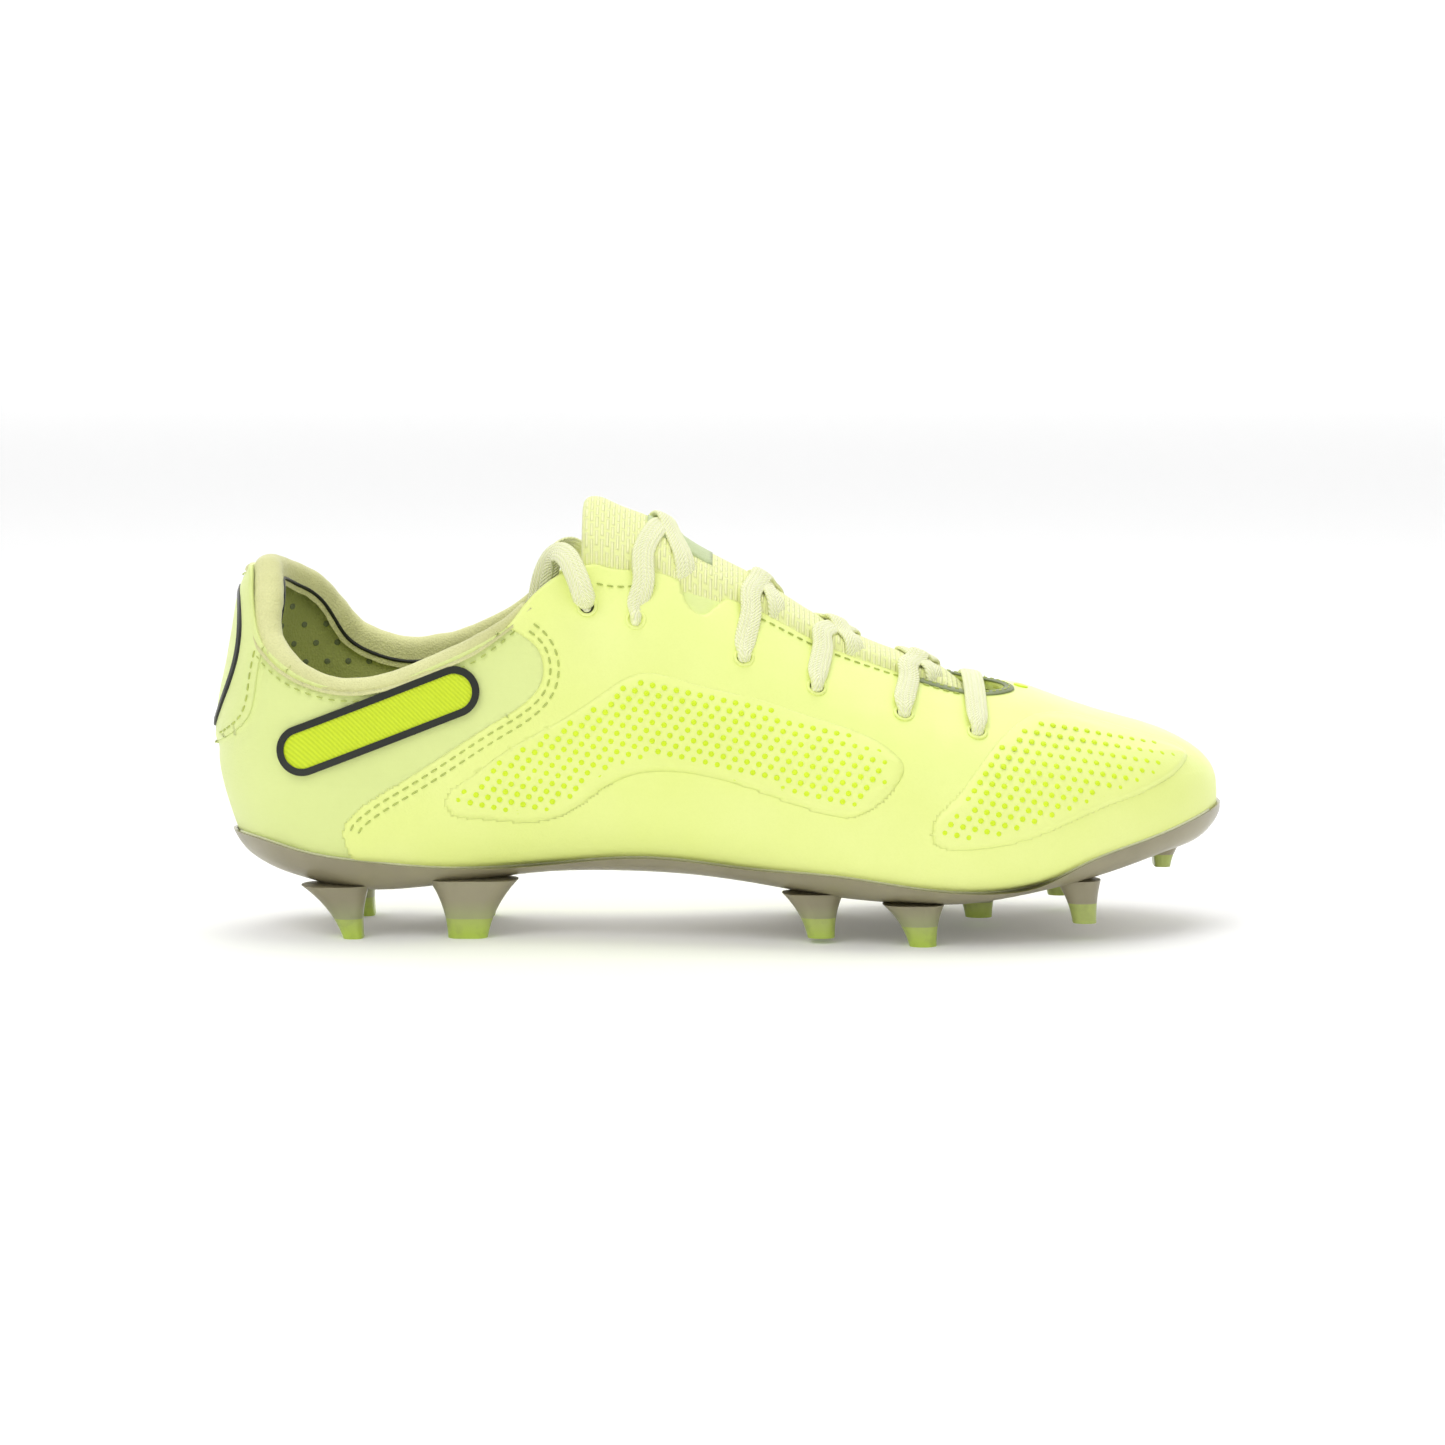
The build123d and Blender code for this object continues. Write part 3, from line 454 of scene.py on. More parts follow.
def tongue_knit():
    m = Shading("tongue_knit", 0.75, Sheen_Weight=0.3)
    uv = m.node("UVMap", uv_map="knit").outputs["UV"]
    black, white = (0, 0, 0, 1), (1, 1, 1, 1)
    slits = m.node("TexBrick", {
        "Vector": uv, "Scale": 1.0, "Mortar Size": 0.16, "Mortar Smooth": 0.6, "Brick Width": 1.0,
        "Row Height": 0.42, "Color1": black, "Color2": black, "Mortar": white,
    }).outputs["Fac"]
    fine = m.noise(1600.0)
    base = m.mix(m.ramp(fine, 0.3, 0.7), (255, 255, 200), (250, 254, 180))
    m.colour(m.mix(slits, base, (230, 240, 142), 0.5))
    m.bump((m.math("SUBTRACT", 1.0, slits), 0.55, 0.001), (fine, 0.4, 0.0004))
    return m.material


def lace_weave():
    m = Shading("lace_textile", 0.7, Sheen_Weight=0.35)
    uv = m.node("UVMap", uv_map="weave").outputs["UV"]
    split = m.node("SeparateXYZ", {"Vector": uv})
    across = m.math("ABSOLUTE", split.outputs["Y"])
    slant = m.math("ADD", split.outputs["X"], m.math("MULTIPLY", across, 1.3))
    rib = m.math("SINE", m.math("MULTIPLY", slant, 2 * math.pi / 1.15))
    channel = m.math("SINE", m.math("MULTIPLY", across, 2 * math.pi / 1.05))
    fine = m.noise(2500.0)
    plait = m.math("ADD", m.math("MULTIPLY", rib, 0.6), m.math("MULTIPLY", channel, 0.4))
    base = m.mix(m.ramp(plait, -0.8, 0.6), (246, 251, 184), (255, 255, 216))
    m.colour(m.mix(m.ramp(fine, 0.5, 0.8), base, (226, 238, 156), 0.2))
    m.bump((plait, 0.5, 0.0005), (fine, 0.3, 0.0002))
    return m.material


def ribbed_badge():
    m = Shading("badge_lime", 0.5, Sheen_Weight=0.1)
    ribs = m.wave((420.0, 420.0, 420.0), "DIAGONAL", Distortion=0.0)
    cross = m.wave((900.0, 0.0, -900.0), "X")
    both = m.math("ADD", m.math("MULTIPLY", ribs, 0.6), m.math("MULTIPLY", cross, 0.4))
    m.colour(m.mix(m.ramp(both, 0.1, 0.9), (206, 232, 8), (232, 252, 40)))
    m.bump((both, 0.6, 0.0004))
    return m.material


def moulded(name, base, dark, rough, **sockets):
    m = Shading(name, rough, **sockets)
    broad, fine = m.noise(35.0, 4.0), m.noise(900.0)
    m.colour(m.mix(m.ramp(broad, 0.35, 0.7), base, dark))
    m.rough(broad, rough - 0.06, rough + 0.08)
    m.bump((fine, 0.12, 0.0002), (broad, 0.08, 0.001))
    return m.material


def clear_plate():
    m = Shading("plate_clear", 0.32, Transmission_Weight=0.25, IOR=1.48, Coat_Weight=0.25, Coat_Roughness=0.2)
    broad, fine = m.noise(40.0, 4.0), m.noise(700.0)
    tint = m.mix(m.ramp(broad, 0.35, 0.7), (178, 170, 140), (160, 152, 122))
    low = m.mix(m.ramp(broad, 0.3, 0.7), (186, 192, 132), (168, 172, 128))
    m.colour(m.mix(m.ramp(m.height(), 0.011, 0.006), tint, low))
    m.rough(broad, 0.28, 0.42)
    m.bump((fine, 0.1, 0.0002), (broad, 0.15, 0.001))
    return m.material


def stud_plastic():
    m = Shading("stud_lime", 0.35, Transmission_Weight=0.2, IOR=1.48, Coat_Weight=0.2, Coat_Roughness=0.2)
    wear = m.noise(300.0, 5.0)
    clean = m.mix(m.ramp(m.height(), 0.006, 0.001), (190, 204, 110), (196, 222, 84))
    m.colour(m.mix(m.ramp(wear, 0.5, 0.75), clean, (150, 160, 96), 0.4))
    m.bump((wear, 0.25, 0.0004))
    return m.material


MATERIALS = {
    "vamp": vamp_leather(),
    "quarter": coated_textile("quarter_textile", (240, 251, 166), (222, 238, 142), (40.0, 40.0, 1150.0)),
    "heel": coated_textile("heel_textile", (238, 249, 166), (224, 238, 146), (60.0, 60.0, 900.0)),
    "collar": plain_textile("collar_knit", (236, 236, 172), (208, 208, 144), 1700.0),
    "lining": plain_textile("lining_textile", (206, 212, 130), (176, 184, 104), 1500.0),
    "board": plain_textile("board", (205, 200, 185), (180, 176, 160), 900.0),
    "sockliner": plain_textile("sockliner", (196, 206, 112), (168, 180, 88), 1100.0),
    "tongue": tongue_knit(),
    "lace": lace_weave(),
    "badge": ribbed_badge(),
    "black": moulded("black_trim", (34, 39, 27), (24, 28, 20), 0.42),
    "dots": moulded("dot_print", (226, 252, 40), (214, 242, 24), 0.45),
    "thread": plain_textile("thread", (214, 228, 120), (176, 190, 92), 2600.0),
    "grey": moulded("grey_trim", (150, 160, 120), (120, 130, 96), 0.6),
    "dark": moulded("eyelet_shadow", (70, 74, 40), (50, 54, 30), 0.7),
    "plate": clear_plate(),
    "stud": stud_plastic(),
    "aglet": moulded("aglet_plastic", (226, 228, 190), (206, 208, 170), 0.25, Coat_Weight=0.5),
    "label": plain_textile("label", (206, 220, 168), (190, 206, 148), 1800.0),
    "foam": plain_textile("foam", (226, 228, 190), (200, 202, 160), 800.0),
    "stiff": moulded("stiffener", (214, 212, 200), (190, 188, 176), 0.7),
}

# ---------------------------------------------------------------- mesh helpers


def mesh_piece(name, vertices, faces, material, body="root", replaces=(), uvs=None):
    mesh = bpy.data.meshes.new(name)
    mesh.from_pydata([tuple(float(c) * MM for c in v) for v in vertices], [], faces)
    if uvs:
        layer = mesh.uv_layers.new(name=uvs[0])
        for loop in mesh.loops:
            layer.data[loop.index].uv = uvs[1][loop.vertex_index]
    mesh.polygons.foreach_set("use_smooth", [True] * len(mesh.polygons))
    mesh.materials.append(MATERIALS[material])
    mesh.validate()
    piece = bpy.data.objects.new(name, mesh)
    bpy.context.collection.objects.link(piece)
    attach(piece, body)
    if replaces:
        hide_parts(*replaces)
    return piece


def thicken(piece, thickness, offset=-1.0):
    """Gives a skin its thickness: inward with offset -1, to both sides with 0."""
    made = piece.modifiers.new("solidify", "SOLIDIFY")
    made.thickness = thickness * MM
    made.offset = offset


def normals_of(points):
    """Unit normals of a point grid, pointing out of the boot."""
    return unit(np.cross(np.gradient(points, axis=0), np.gradient(points, axis=1)))


def sample(grid, i, j):
    """Bilinear look-up of a grid at real-valued indices."""
    i = np.clip(i, 0, grid.shape[0] - 1.001)
    j = np.clip(j, 0, grid.shape[1] - 1.001)
    a, b = i.astype(int), j.astype(int)
    u, v = (i - a)[..., None], (j - b)[..., None]
    return (grid[a, b] * (1 - u) * (1 - v) + grid[a + 1, b] * u * (1 - v)
            + grid[a, b + 1] * (1 - u) * v + grid[a + 1, b + 1] * u * v)


SNAP = 0.56  # of a grid cell


def snapped(points, level, fixed):
    """Moves grid points that lie close to level 0 onto it, apart from those that another level fixed."""
    gi, gj = np.gradient(level)
    size = np.maximum(gi**2 + gj**2, 1e-9)
    di, dj = -level * gi / size, -level * gj / size
    near = (abs(di) <= SNAP) & (abs(dj) <= SNAP) & ~fixed
    rows, columns = np.indices(level.shape)
    moved = sample(points, rows + np.where(near, di, 0), columns + np.where(near, dj, 0))
    return np.where(near[..., None], moved, points), np.where(near, 0.0, level), fixed | near


def used_only(vertices, faces):
    used = sorted({v for face in faces for v in face})
    lookup = {v: k for k, v in enumerate(used)}
    return vertices[used], [[lookup[v] for v in face] for face in faces]


def split(faces, level):
    """Polygons of the grid on either side of a snapped level; straddlers go with their mean."""
    flat = level.ravel()
    inside, outside = [], []
    for face in faces:
        values = flat[face]
        if values.min() >= 0:
            inside.append(face)
        elif values.max() <= 0:
            outside.append(face)
        else:
            parts = [face]
            for k in (0, 1):
                if len(face) == 4 and values[k] == 0 == values[k + 2]:
                    a, b, c, d = face[k:] + face[:k]
                    parts = [[a, b, c], [c, d, a]]
            for part in parts:
                (inside if flat[part].mean() > 0 else outside).append(part)
    return inside, outside


def quads(rows, columns):
    i, j = np.indices((rows - 1, columns - 1))
    first = (i * columns + j).ravel()
    return np.stack([first, first + columns, first + columns + 1, first + 1], 1).tolist()


def closed_quads(rows, columns):
    """Quads of a layer's grid, with its narrow heel and toe ends filled in."""
    heel_end, toe_end = list(range(columns)), [(rows - 1) * columns + j for j in range(columns)]
    return quads(rows, columns) + [heel_end, toe_end[::-1]]


def ring_faces(first, rings, sides):
    """Quads that join rings of vertices, numbered on from first."""
    faces = []
    for i in range(rings - 1):
        for k in range(sides):
            a, b = first + i * sides + k, first + i * sides + (k + 1) % sides
            faces.append([a, b, b + sides, a + sides])
    return faces


def circle(across, other, sides):
    """Steps from the middle to points round a circle of radius 1."""
    angle = np.arange(sides) * 2 * math.pi / sides
    return np.cos(angle)[:, None] * across + np.sin(angle)[:, None] * other


def strip_tube(name, points, radius, material, thick=None, ups=(0.0, 0.0, 1.0), closed=False,
               replaces=(), sides=8, uv=None):
    """A round tube that follows points or, with half its thickness given, a band lying flat to ups."""
    p = np.array(points, float)
    count = len(p)
    tangent = unit(np.roll(p, -1, 0) - np.roll(p, 1, 0) if closed else np.gradient(p, axis=0))
    across = unit(np.cross(tangent, np.array(ups, float)))
    over = np.cross(across, tangent)
    wide = np.full(count, radius, float)
    high = wide if thick is None else np.full(count, thick, float)
    angle = np.arange(sides) * 2 * math.pi / sides
    ring = np.sign(np.cos(angle)) * abs(np.cos(angle)) ** (1 if thick is None else 0.75)
    vertices = (p[:, None] + across[:, None] * (ring * wide[:, None])[..., None]
                + over[:, None] * (np.sin(angle) * high[:, None])[..., None]).reshape(-1, 3)
    faces = [[v % len(vertices) for v in face] for face in ring_faces(0, count + closed, sides)]
    if not closed:
        faces += [list(range(sides))[::-1], [len(vertices) - sides + k for k in range(sides)]]
    if uv:
        run = run_along(p)
        uv = (uv, [(float(run[i]), float(part * wide[i])) for i in range(count) for part in ring])
    return mesh_piece(name, vertices, faces, material, replaces=replaces, uvs=uv)


def studs_along(name, places, radius, height, material, sides=10):
    """Small raised discs at (point, normal) places."""
    vertices, faces = [], []
    for point, normal in places:
        point, normal = np.array(point, float), np.array(normal, float)
        across = unit(np.cross(normal, (0.0, 0.0, 1.0) if abs(normal[2]) < 0.9 else (1.0, 0.0, 0.0)))
        around = radius * circle(across, np.cross(normal, across), sides)
        first = len(vertices)
        for share, rise in ((1.0, -0.3), (1.0, 0.55 * height), (0.72, height)):
            vertices.extend(point + share * around + normal * rise)
        faces += ring_faces(first, 3, sides)
        faces.append([first + 2 * sides + k for k in range(sides)])
    return mesh_piece(name, vertices, faces, material)


STITCH_PROFILE = ((-1.0, 0.0), (-0.85, 0.75), (-0.4, 1.0), (0.4, 1.0), (0.85, 0.75), (1.0, 0.0))


def stitches(name, points, normals, pitch=3.1, length=2.1, radius=0.32, sides=6):
    """A row of short threads along a line on a skin."""
    p, n = np.array(points, float), np.array(normals, float)
    run = run_along(p)
    vertices, faces = [], []
    for at in np.arange(pitch / 2, run[-1] - pitch / 2, pitch):
        centre = between(at, run, p)
        ahead = unit(between(at + 0.5, run, p) - centre)
        across = unit(np.cross(ahead, between(at, run, n)))
        up = np.cross(across, ahead)
        around = radius * circle(across, up, sides)
        first = len(vertices)
        for place, share in STITCH_PROFILE:
            vertices.extend(centre + ahead * place * length / 2 + up * 0.1 + share * around)
        faces += ring_faces(first, len(STITCH_PROFILE), sides)
    return mesh_piece(name, vertices, faces, "thread")


def on_wall(points, side, lift=0.0):
    """Skin points and normals for side-view (s, z) points."""
    places = [outer_layer.out_of_wall(s, z, side) for s, z in points]
    return [p + n * lift for p, n in places], [n for p, n in places]


def on_crown(points, lift=0.0, layer=outer_layer):
    """Skin points and normals for plan-view (s, y) points near the throat."""
    found, normals = [], []
    for s, y in points:
        z = layer.crown(s, y)
        slope_s = (layer.crown(s + 1.5, y) - layer.crown(s - 1.5, y)) / 3
        slope_y = (layer.crown(s, y + 0.7) - layer.crown(s, y - 0.7)) / 1.4
        n = Vector((-slope_s, -slope_y, 1)).normalized()
        found.append(Vector((s + HEEL_X, y, z)) + n * lift)
        normals.append(n)
    return found, normals


# ---------------------------------------------------------------- upper's outer skin
ROWS, COLUMNS = 380, 180
HIDDEN_RIM = 2.6
COLLAR_FRONT = 112.0
THROAT_FLOOR = 45.0
POD_MARGIN = 1.5


def opening(points, drop, back=0.0):
    """Levels that are negative in the collar's and throat's openings, and in the throat's alone."""
    s, z = points[..., 0] - HEEL_X, points[..., 2]
    rise = topline(points) - drop - z + 12 * np.maximum(s - COLLAR_FRONT, 0)
    throat = np.where(z < THROAT_FLOOR, 20, -signed(plan_view(points), THROAT) - back)
    return np.minimum(rise, throat), throat


def one_side(faces, y, side):
    return [face for face in faces if side * y[face].mean() > 0]


def outer_skins():
    """Vamp, quarters, heel panel and printed pods, cut from one grid of the outer surface."""
    skin = outer_layer.grid(ROWS, COLUMNS)
    s = skin[..., 0] - HEEL_X
    open_level, throat = opening(skin, HIDDEN_RIM * (1 - smooth(s, 82, 90)))
    skin, open_level, fixed = snapped(skin, open_level, np.zeros(s.shape, bool))
    quarter = signed(side_view(skin), QUARTER)
    heel = signed(side_view(skin), HEEL)
    skin, quarter, fixed = snapped(skin, quarter, fixed)
    skin, heel, fixed = snapped(skin, heel, fixed)
    pods = {}
    for name, outline in (("midfoot_pod", MIDFOOT), ("forefoot_pod", FOREFOOT)):
        level = signed(side_view(skin), outline)
        level = np.where(throat < POD_MARGIN, np.minimum(level, throat - POD_MARGIN), level)
        skin, level, fixed = snapped(skin, level, fixed)
        pods[name] = level
    normal = normals_of(skin)
    faces, _ = split(closed_quads(*skin.shape[:2]), open_level)
    behind, vamp = split(faces, quarter)
    panel, quarters = split(behind, heel)

    flat = skin.reshape(-1, 3)
    dents = np.array([noise.fractal(Vector(p), 0.7, 2.1, 4) for p in flat * 0.02]).reshape(s.shape)
    flex = np.exp(-((s - 188) / 22) ** 2) * smooth(skin[..., 2], 30, 44) * (1 - smooth(skin[..., 2], 60, 72))
    folds = np.array([noise.noise(Vector(p)) for p in flat * (0.16, 0.05, 0.07)])
    relief = (0.28 * dents + 0.35 * flex * folds.reshape(s.shape)) * smooth(open_level, 0, 6)
    lip = 0.45 * smooth(-quarter, 0.0, 1.5) * (1 - smooth(-quarter, 4, 12))
    relief_vamp = relief + np.where(quarter <= 0, lip, 0)
    relief_heel = relief + 0.30 * smooth(heel, 0, 1.4)
    groove = 0.30 * smooth(-heel, 0, 1.2) * (1 - smooth(-heel, 1.5, 5))
    relief_quarter = relief - 0.35 * smooth(quarter, 0.0, 1.2) - groove

    def piece(name, part_faces, raised, material, slot, node, thickness=1.3):
        vertices = (skin + normal * raised[..., None]).reshape(-1, 3)
        kept, renumbered = used_only(vertices, part_faces)
        made = mesh_piece(name, kept, renumbered, material, replaces=[node])
        thicken(made, thickness)

    piece("vamp_skin", vamp, relief_vamp, "vamp", "vamp_leather", "vamp_shell", 1.6)
    piece("heel_panel_skin", panel, relief_heel, "heel", "heel_textile", "heel_back_panel")
    y, z = skin[..., 1].ravel(), skin[..., 2]
    for name, side in SIDES.items():
        piece("quarter_skin_" + name, one_side(quarters, y, side), relief_quarter, "quarter",
              "quarter_textile", "quarter_panel_" + name)
    middles = {"midfoot_pod": through((67, 40), (100, 52), (120, 60), (150, 60), (192, 52)),
               "forefoot_pod": through((199, 38), (230, 46), (273, 52))}
    for name, level in pods.items():
        width = 0.8 + 11 * smooth(z - middles[name](s), -4, 8)
        raised = relief_vamp + 0.07 + 0.95 * smooth(level, 0, 1.6) * np.clip(level / width, 0, 1) ** 0.6
        inside, _ = split(vamp, level)
        for side_name, side in SIDES.items():
            node = name + "_" + side_name
            piece(node + "_print", one_side(inside, y, side), raised, "vamp", "vamp_leather", node, 0.05)


outer_skins()


def pod_dots():
    """Rows of small printed dots on both pods of both sides."""
    slope = math.tan(math.radians(-11.5))
    row_pitch, pitch, edge = 2.5, 3.25, 1.6
    grid = []
    for row in range(-30, 60):
        for k in range(90):
            s = 55 + (k + 0.5 * (row % 2)) * pitch
            grid.append((s, 60 + row * row_pitch + slope * (s - 130)))
    grid = np.array(grid)
    places = []
    for outline, lowest, highest in ((MIDFOOT, 25, 85), (FOREFOOT, 22, 75)):
        for (s, z), d in zip(grid, signed(grid, outline)):
            if d < edge or not lowest < z < highest:
                continue
            for side in SIDES.values():
                if float(ridge(s)) * side > 0 and z > float(outer_layer.top(s)) - 4:
                    continue
                point, normal = outer_layer.out_of_wall(s, z, side)
                if normal.z > 0.93:
                    continue
                places.append((point + normal * (0.95 * min(1, max(0.15, d / 5)) + 0.1), normal))
    studs_along("pod_dots", places, 0.8, 0.3, "dots", sides=8)


pod_dots()

# ---------------------------------------------------------------- collar and lining
COLLAR_END = 88.0


def rim_line(side, count=90):
    """Topline points on the outer surface from the heel's middle forward: (s, y, z)."""
    out = []
    s0 = float(heel_line(105.3)) + 0.005
    for k in range(count + 1):
        s = s0 + (COLLAR_END - s0) * (k / count) ** 2
        low, high = 66.0, 112.0
        for _ in range(40):
            z = (low + high) / 2
            y = outer_layer.wall(s, z, side)
            if z < float(topline(np.array([s + HEEL_X, y, z]))):
                low = z
            else:
                high = z
        out.append((s, outer_layer.wall(s, z, side), z))
    return out


def collar():
    points = np.array(rim_line(-1)[::-1] + rim_line(1)[1:]) + (HEEL_X, 0, 0)
    run = run_along(points)
    even = np.linspace(0, run[-1], 260)
    points = between(even, run, points)
    for _ in range(6):
        points[1:-1] = 0.5 * points[1:-1] + 0.25 * (points[:-2] + points[2:])
    tangent = unit(np.gradient(points, axis=0))
    outward = unit(np.cross((0.0, 0.0, 1.0), tangent))
    if outward[0, 1] > 0:
        outward = -outward
    down = np.cross(tangent, outward)
    down *= np.sign(-down[:, 2:3])
    s = points[:, 0] - HEEL_X
    width = foot_layer.depth(s, points[:, 2]) - 0.2
    half = width / 2 + 0.3
    crown = np.minimum(4.0, 0.6 * width)
    centre = points - outward * (width / 2)[:, None] + down * crown[:, None]
    arc = [math.pi * k / 14 for k in range(15)]
    section = [(math.cos(a) * (1 + 0.10 * math.sin(a) ** 2), math.sin(a)) for a in arc]
    section += [(-1.03, -0.5), (-1.0, -1.2)]
    flare = np.array([outer_layer.out_of_wall(p[0] - HEEL_X, p[2], -1 if p[1] < 0 else 1)[1] for p in points])
    along = unit(down + flare[:, 2:3] * outward)
    tail = ((1.12, 0.5), (0.85, 0.62))
    vertices = [points + along * (crown * drop)[:, None] + outward * lift for drop, lift in tail]
    scale = 1 + 0.05 * np.array([noise.noise(Vector((r * 0.22, 0, 0))) for r in even])
    for out, up in section:
        rise = down * (crown * up * scale)[:, None]
        vertices.append(centre + outward * (half * out * scale)[:, None] - rise)
    vertices = np.stack(vertices, 1).reshape(-1, 3)
    ring = len(section) + 2
    last = (len(points) - 1) * ring
    faces = quads(len(points), ring)
    faces += [list(range(ring))[::-1], [last + k for k in range(ring)]]
    mesh_piece("collar_knit_roll", vertices, faces, "collar", replaces=["collar_binding"])
    inner = centre - outward * (half * 1.02)[:, None] + down * (0.7 * crown)[:, None]
    strip_tube("collar_piping", inner[s < 66], 0.55, "black")
    stitched = points + along * (crown * 1.5)[:, None] + outward * 0.05
    stitches("collar_stitches", stitched, outward, pitch=3.4, length=1.9, radius=0.24)


collar()


def linings():
    """The visible inner faces: heel lining with grip dots, vamp lining in front of it."""
    inside = foot_layer.grid(180, 90)
    level, _ = opening(inside, 4.2, 0.6)
    inside, level, fixed = snapped(inside, level, np.zeros(level.shape, bool))
    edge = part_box("heel_lining")[1].x / MM - inside[..., 0]
    inside, edge, fixed = snapped(inside, edge, fixed)
    faces, _ = split(closed_quads(*inside.shape[:2]), level)
    back, front = split(faces, edge)
    flat = inside.reshape(-1, 3)
    for node, mine in (("heel_lining", back), ("vamp_lining", front)):
        kept, renumbered = used_only(flat, [face[::-1] for face in mine])
        made = mesh_piece(node + "_face", kept, renumbered, "lining", replaces=[node])
        thicken(made, 0.8)
    places = []
    for side in SIDES.values():
        for row in range(7):
            for k in range(8):
                s0 = 17 + k * 6.0 + 3.0 * (row % 2)
                z = 62 + row * 5.5
                y = foot_layer.wall(s0, z, side)
                if z > float(topline(np.array([s0 + HEEL_X, y, z]))) - 9 or s0 < float(heel_line(z)) + 9.5:
                    continue
                here, normal = foot_layer.out_of_wall(s0, z, side)
                places.append((here, -normal))
    studs_along("heel_grip_dots", places, 0.9, 0.35, "grey")


linings()

# ---------------------------------------------------------------- seams, eyelets and trims


def seams():
    seam = eased(QUARTER_SEAM, step=1.2)
    seam = seam[(seam[:, 1] > 27) & (seam[:, 1] < 85)]
    direction = unit(np.gradient(seam, axis=0))
    away = np.stack([-direction[:, 1], direction[:, 0]], 1)
    for name, side in SIDES.items():
        for number, gap in ((1, 2.0), (2, 4.3)):
            points, normals = on_wall(seam + away * gap, side, 0.38)
            stitches(f"quarter_stitches_{name}_{number}", points, normals)
        heel = eased(HEEL_SEAM, step=1.2)
        heel = heel[(heel[:, 0] > heel_line(heel[:, 1]) + 1.5) & (heel[:, 1] < 80)] + (-1.6, 0.6)
        heel = heel[heel[:, 0] > heel_line(heel[:, 1]) + 0.6]
        if len(heel) > 6:
            points, normals = on_wall(heel, side, 0.25)
            stitches("heel_stitches_" + name, points, normals)


def throat_edging():
    """Stitching along the eyestays and a grey tape round the throat's front end."""
    for name, line in (("lateral", THROAT_LATERAL), ("medial", THROAT_MEDIAL[::-1])):
        side = SIDES[name]
        edge = eased(line, step=1.5)
        edge = edge[(edge[:, 0] > 106) & (edge[:, 0] < 218)]
        edge = edge[(edge[:, 0] < 127.5) | (edge[:, 0] > 146.5)]
        for number, part in enumerate((edge[edge[:, 0] < 130], edge[edge[:, 0] > 140])):
            points, normals = on_crown(part + (0, side * 2.8), 0.15)
            stitches(f"eyestay_stitches_{name}_{number}", points, normals, pitch=2.9, length=1.9, radius=0.26)
    tape = eased((
        (196, -13.4), (205, -13.8), (213, -13.1), (219.6, -10.3), (222.9, -5), (219.8, 1.6), (212.4, 5.8),
        (203, 8.4),
    ), step=1.2)
    points, normals = on_crown(tape, 0.25)
    strip_tube("throat_tape", points, 1.5, "grey", thick=0.42, ups=normals)
    points, normals = on_crown(tape, 0.62)
    stitches("throat_tape_stitches", points, normals, pitch=2.2, length=1.3, radius=0.24)


# station, and height on the lateral and the medial side
EYELETS = (
    (212.5, 58.5, 64.5), (192.3, 63.5, 67.5), (168.3, 70.7, 73), (148.3, 78.8, 79.5), (118.5, 89.1, 89.5),
    (105, 92.6, 93),
)
EYELET_RADIUS = 2.1
eyelets = {}
for side_name, side_sign in SIDES.items():
    for row_number, (eyelet_s, low_z, high_z) in enumerate(EYELETS):
        eyelet_z = low_z if side_sign < 0 else high_z
        eyelets[side_name, row_number] = outer_layer.out_of_wall(eyelet_s, eyelet_z, side_sign)


def eyelet_rims():
    for (name, row), (point, normal) in eyelets.items():
        across = normal.cross(Vector((0, 0, 1))).normalized()
        other = normal.cross(across)
        ring = [point + normal * 0.2 + (across * math.cos(a) + other * math.sin(a)) * (EYELET_RADIUS + 0.35)
                for a in np.arange(24) * 2 * math.pi / 24]
        strip_tube(f"eyelet_rim_{name}_{row}", ring, 0.5, "vamp", 0.35, normal, closed=True)
    places = [(point + normal * 0.05, normal) for point, normal in eyelets.values()]
    studs_along("eyelet_shadows", places, EYELET_RADIUS, 0.05, "dark", sides=20)


seams()
throat_edging()
eyelet_rims()


def glue_line():
    """The pale bead of cement where the upper meets the plate's rim."""
    for name, side in SIDES.items():
        spans = (7.5, 20, 14), (22, 262, 120), (264, 279, 16)
        stations = np.concatenate([np.linspace(*span) for span in spans])
        rows = [(s, float(rim(s)) + 0.25) for s in stations if s > float(heel_line(float(rim(s)))) + 0.4]
        points, normals = on_wall(rows, side, 0.15)
        strip_tube("glue_line_" + name, points, 0.45, "foam", ups=normals)


glue_line()


studs_along("vamp_oval", list(zip(*on_crown([(226.6, 2.0)]))), 2.1, 0.35, "dots", sides=28)

# ---------------------------------------------------------------- tongue
TONGUE_GAP = 2.8
PAD = 0.72  # share of the tongue's half width that is padded; the rest is its wing
KNIT = 3.4
THROAT_START = 104.0
lateral_edge = through(*THROAT_LATERAL)
medial_edge = through(*reversed(THROAT_MEDIAL))


def throat_edge(side, s):
    return float(lateral_edge(s) if side < 0 else medial_edge(s))


ROLL = (6.0, 3.9)  # half the thickness of the tongue's rolled top: along the boot and up


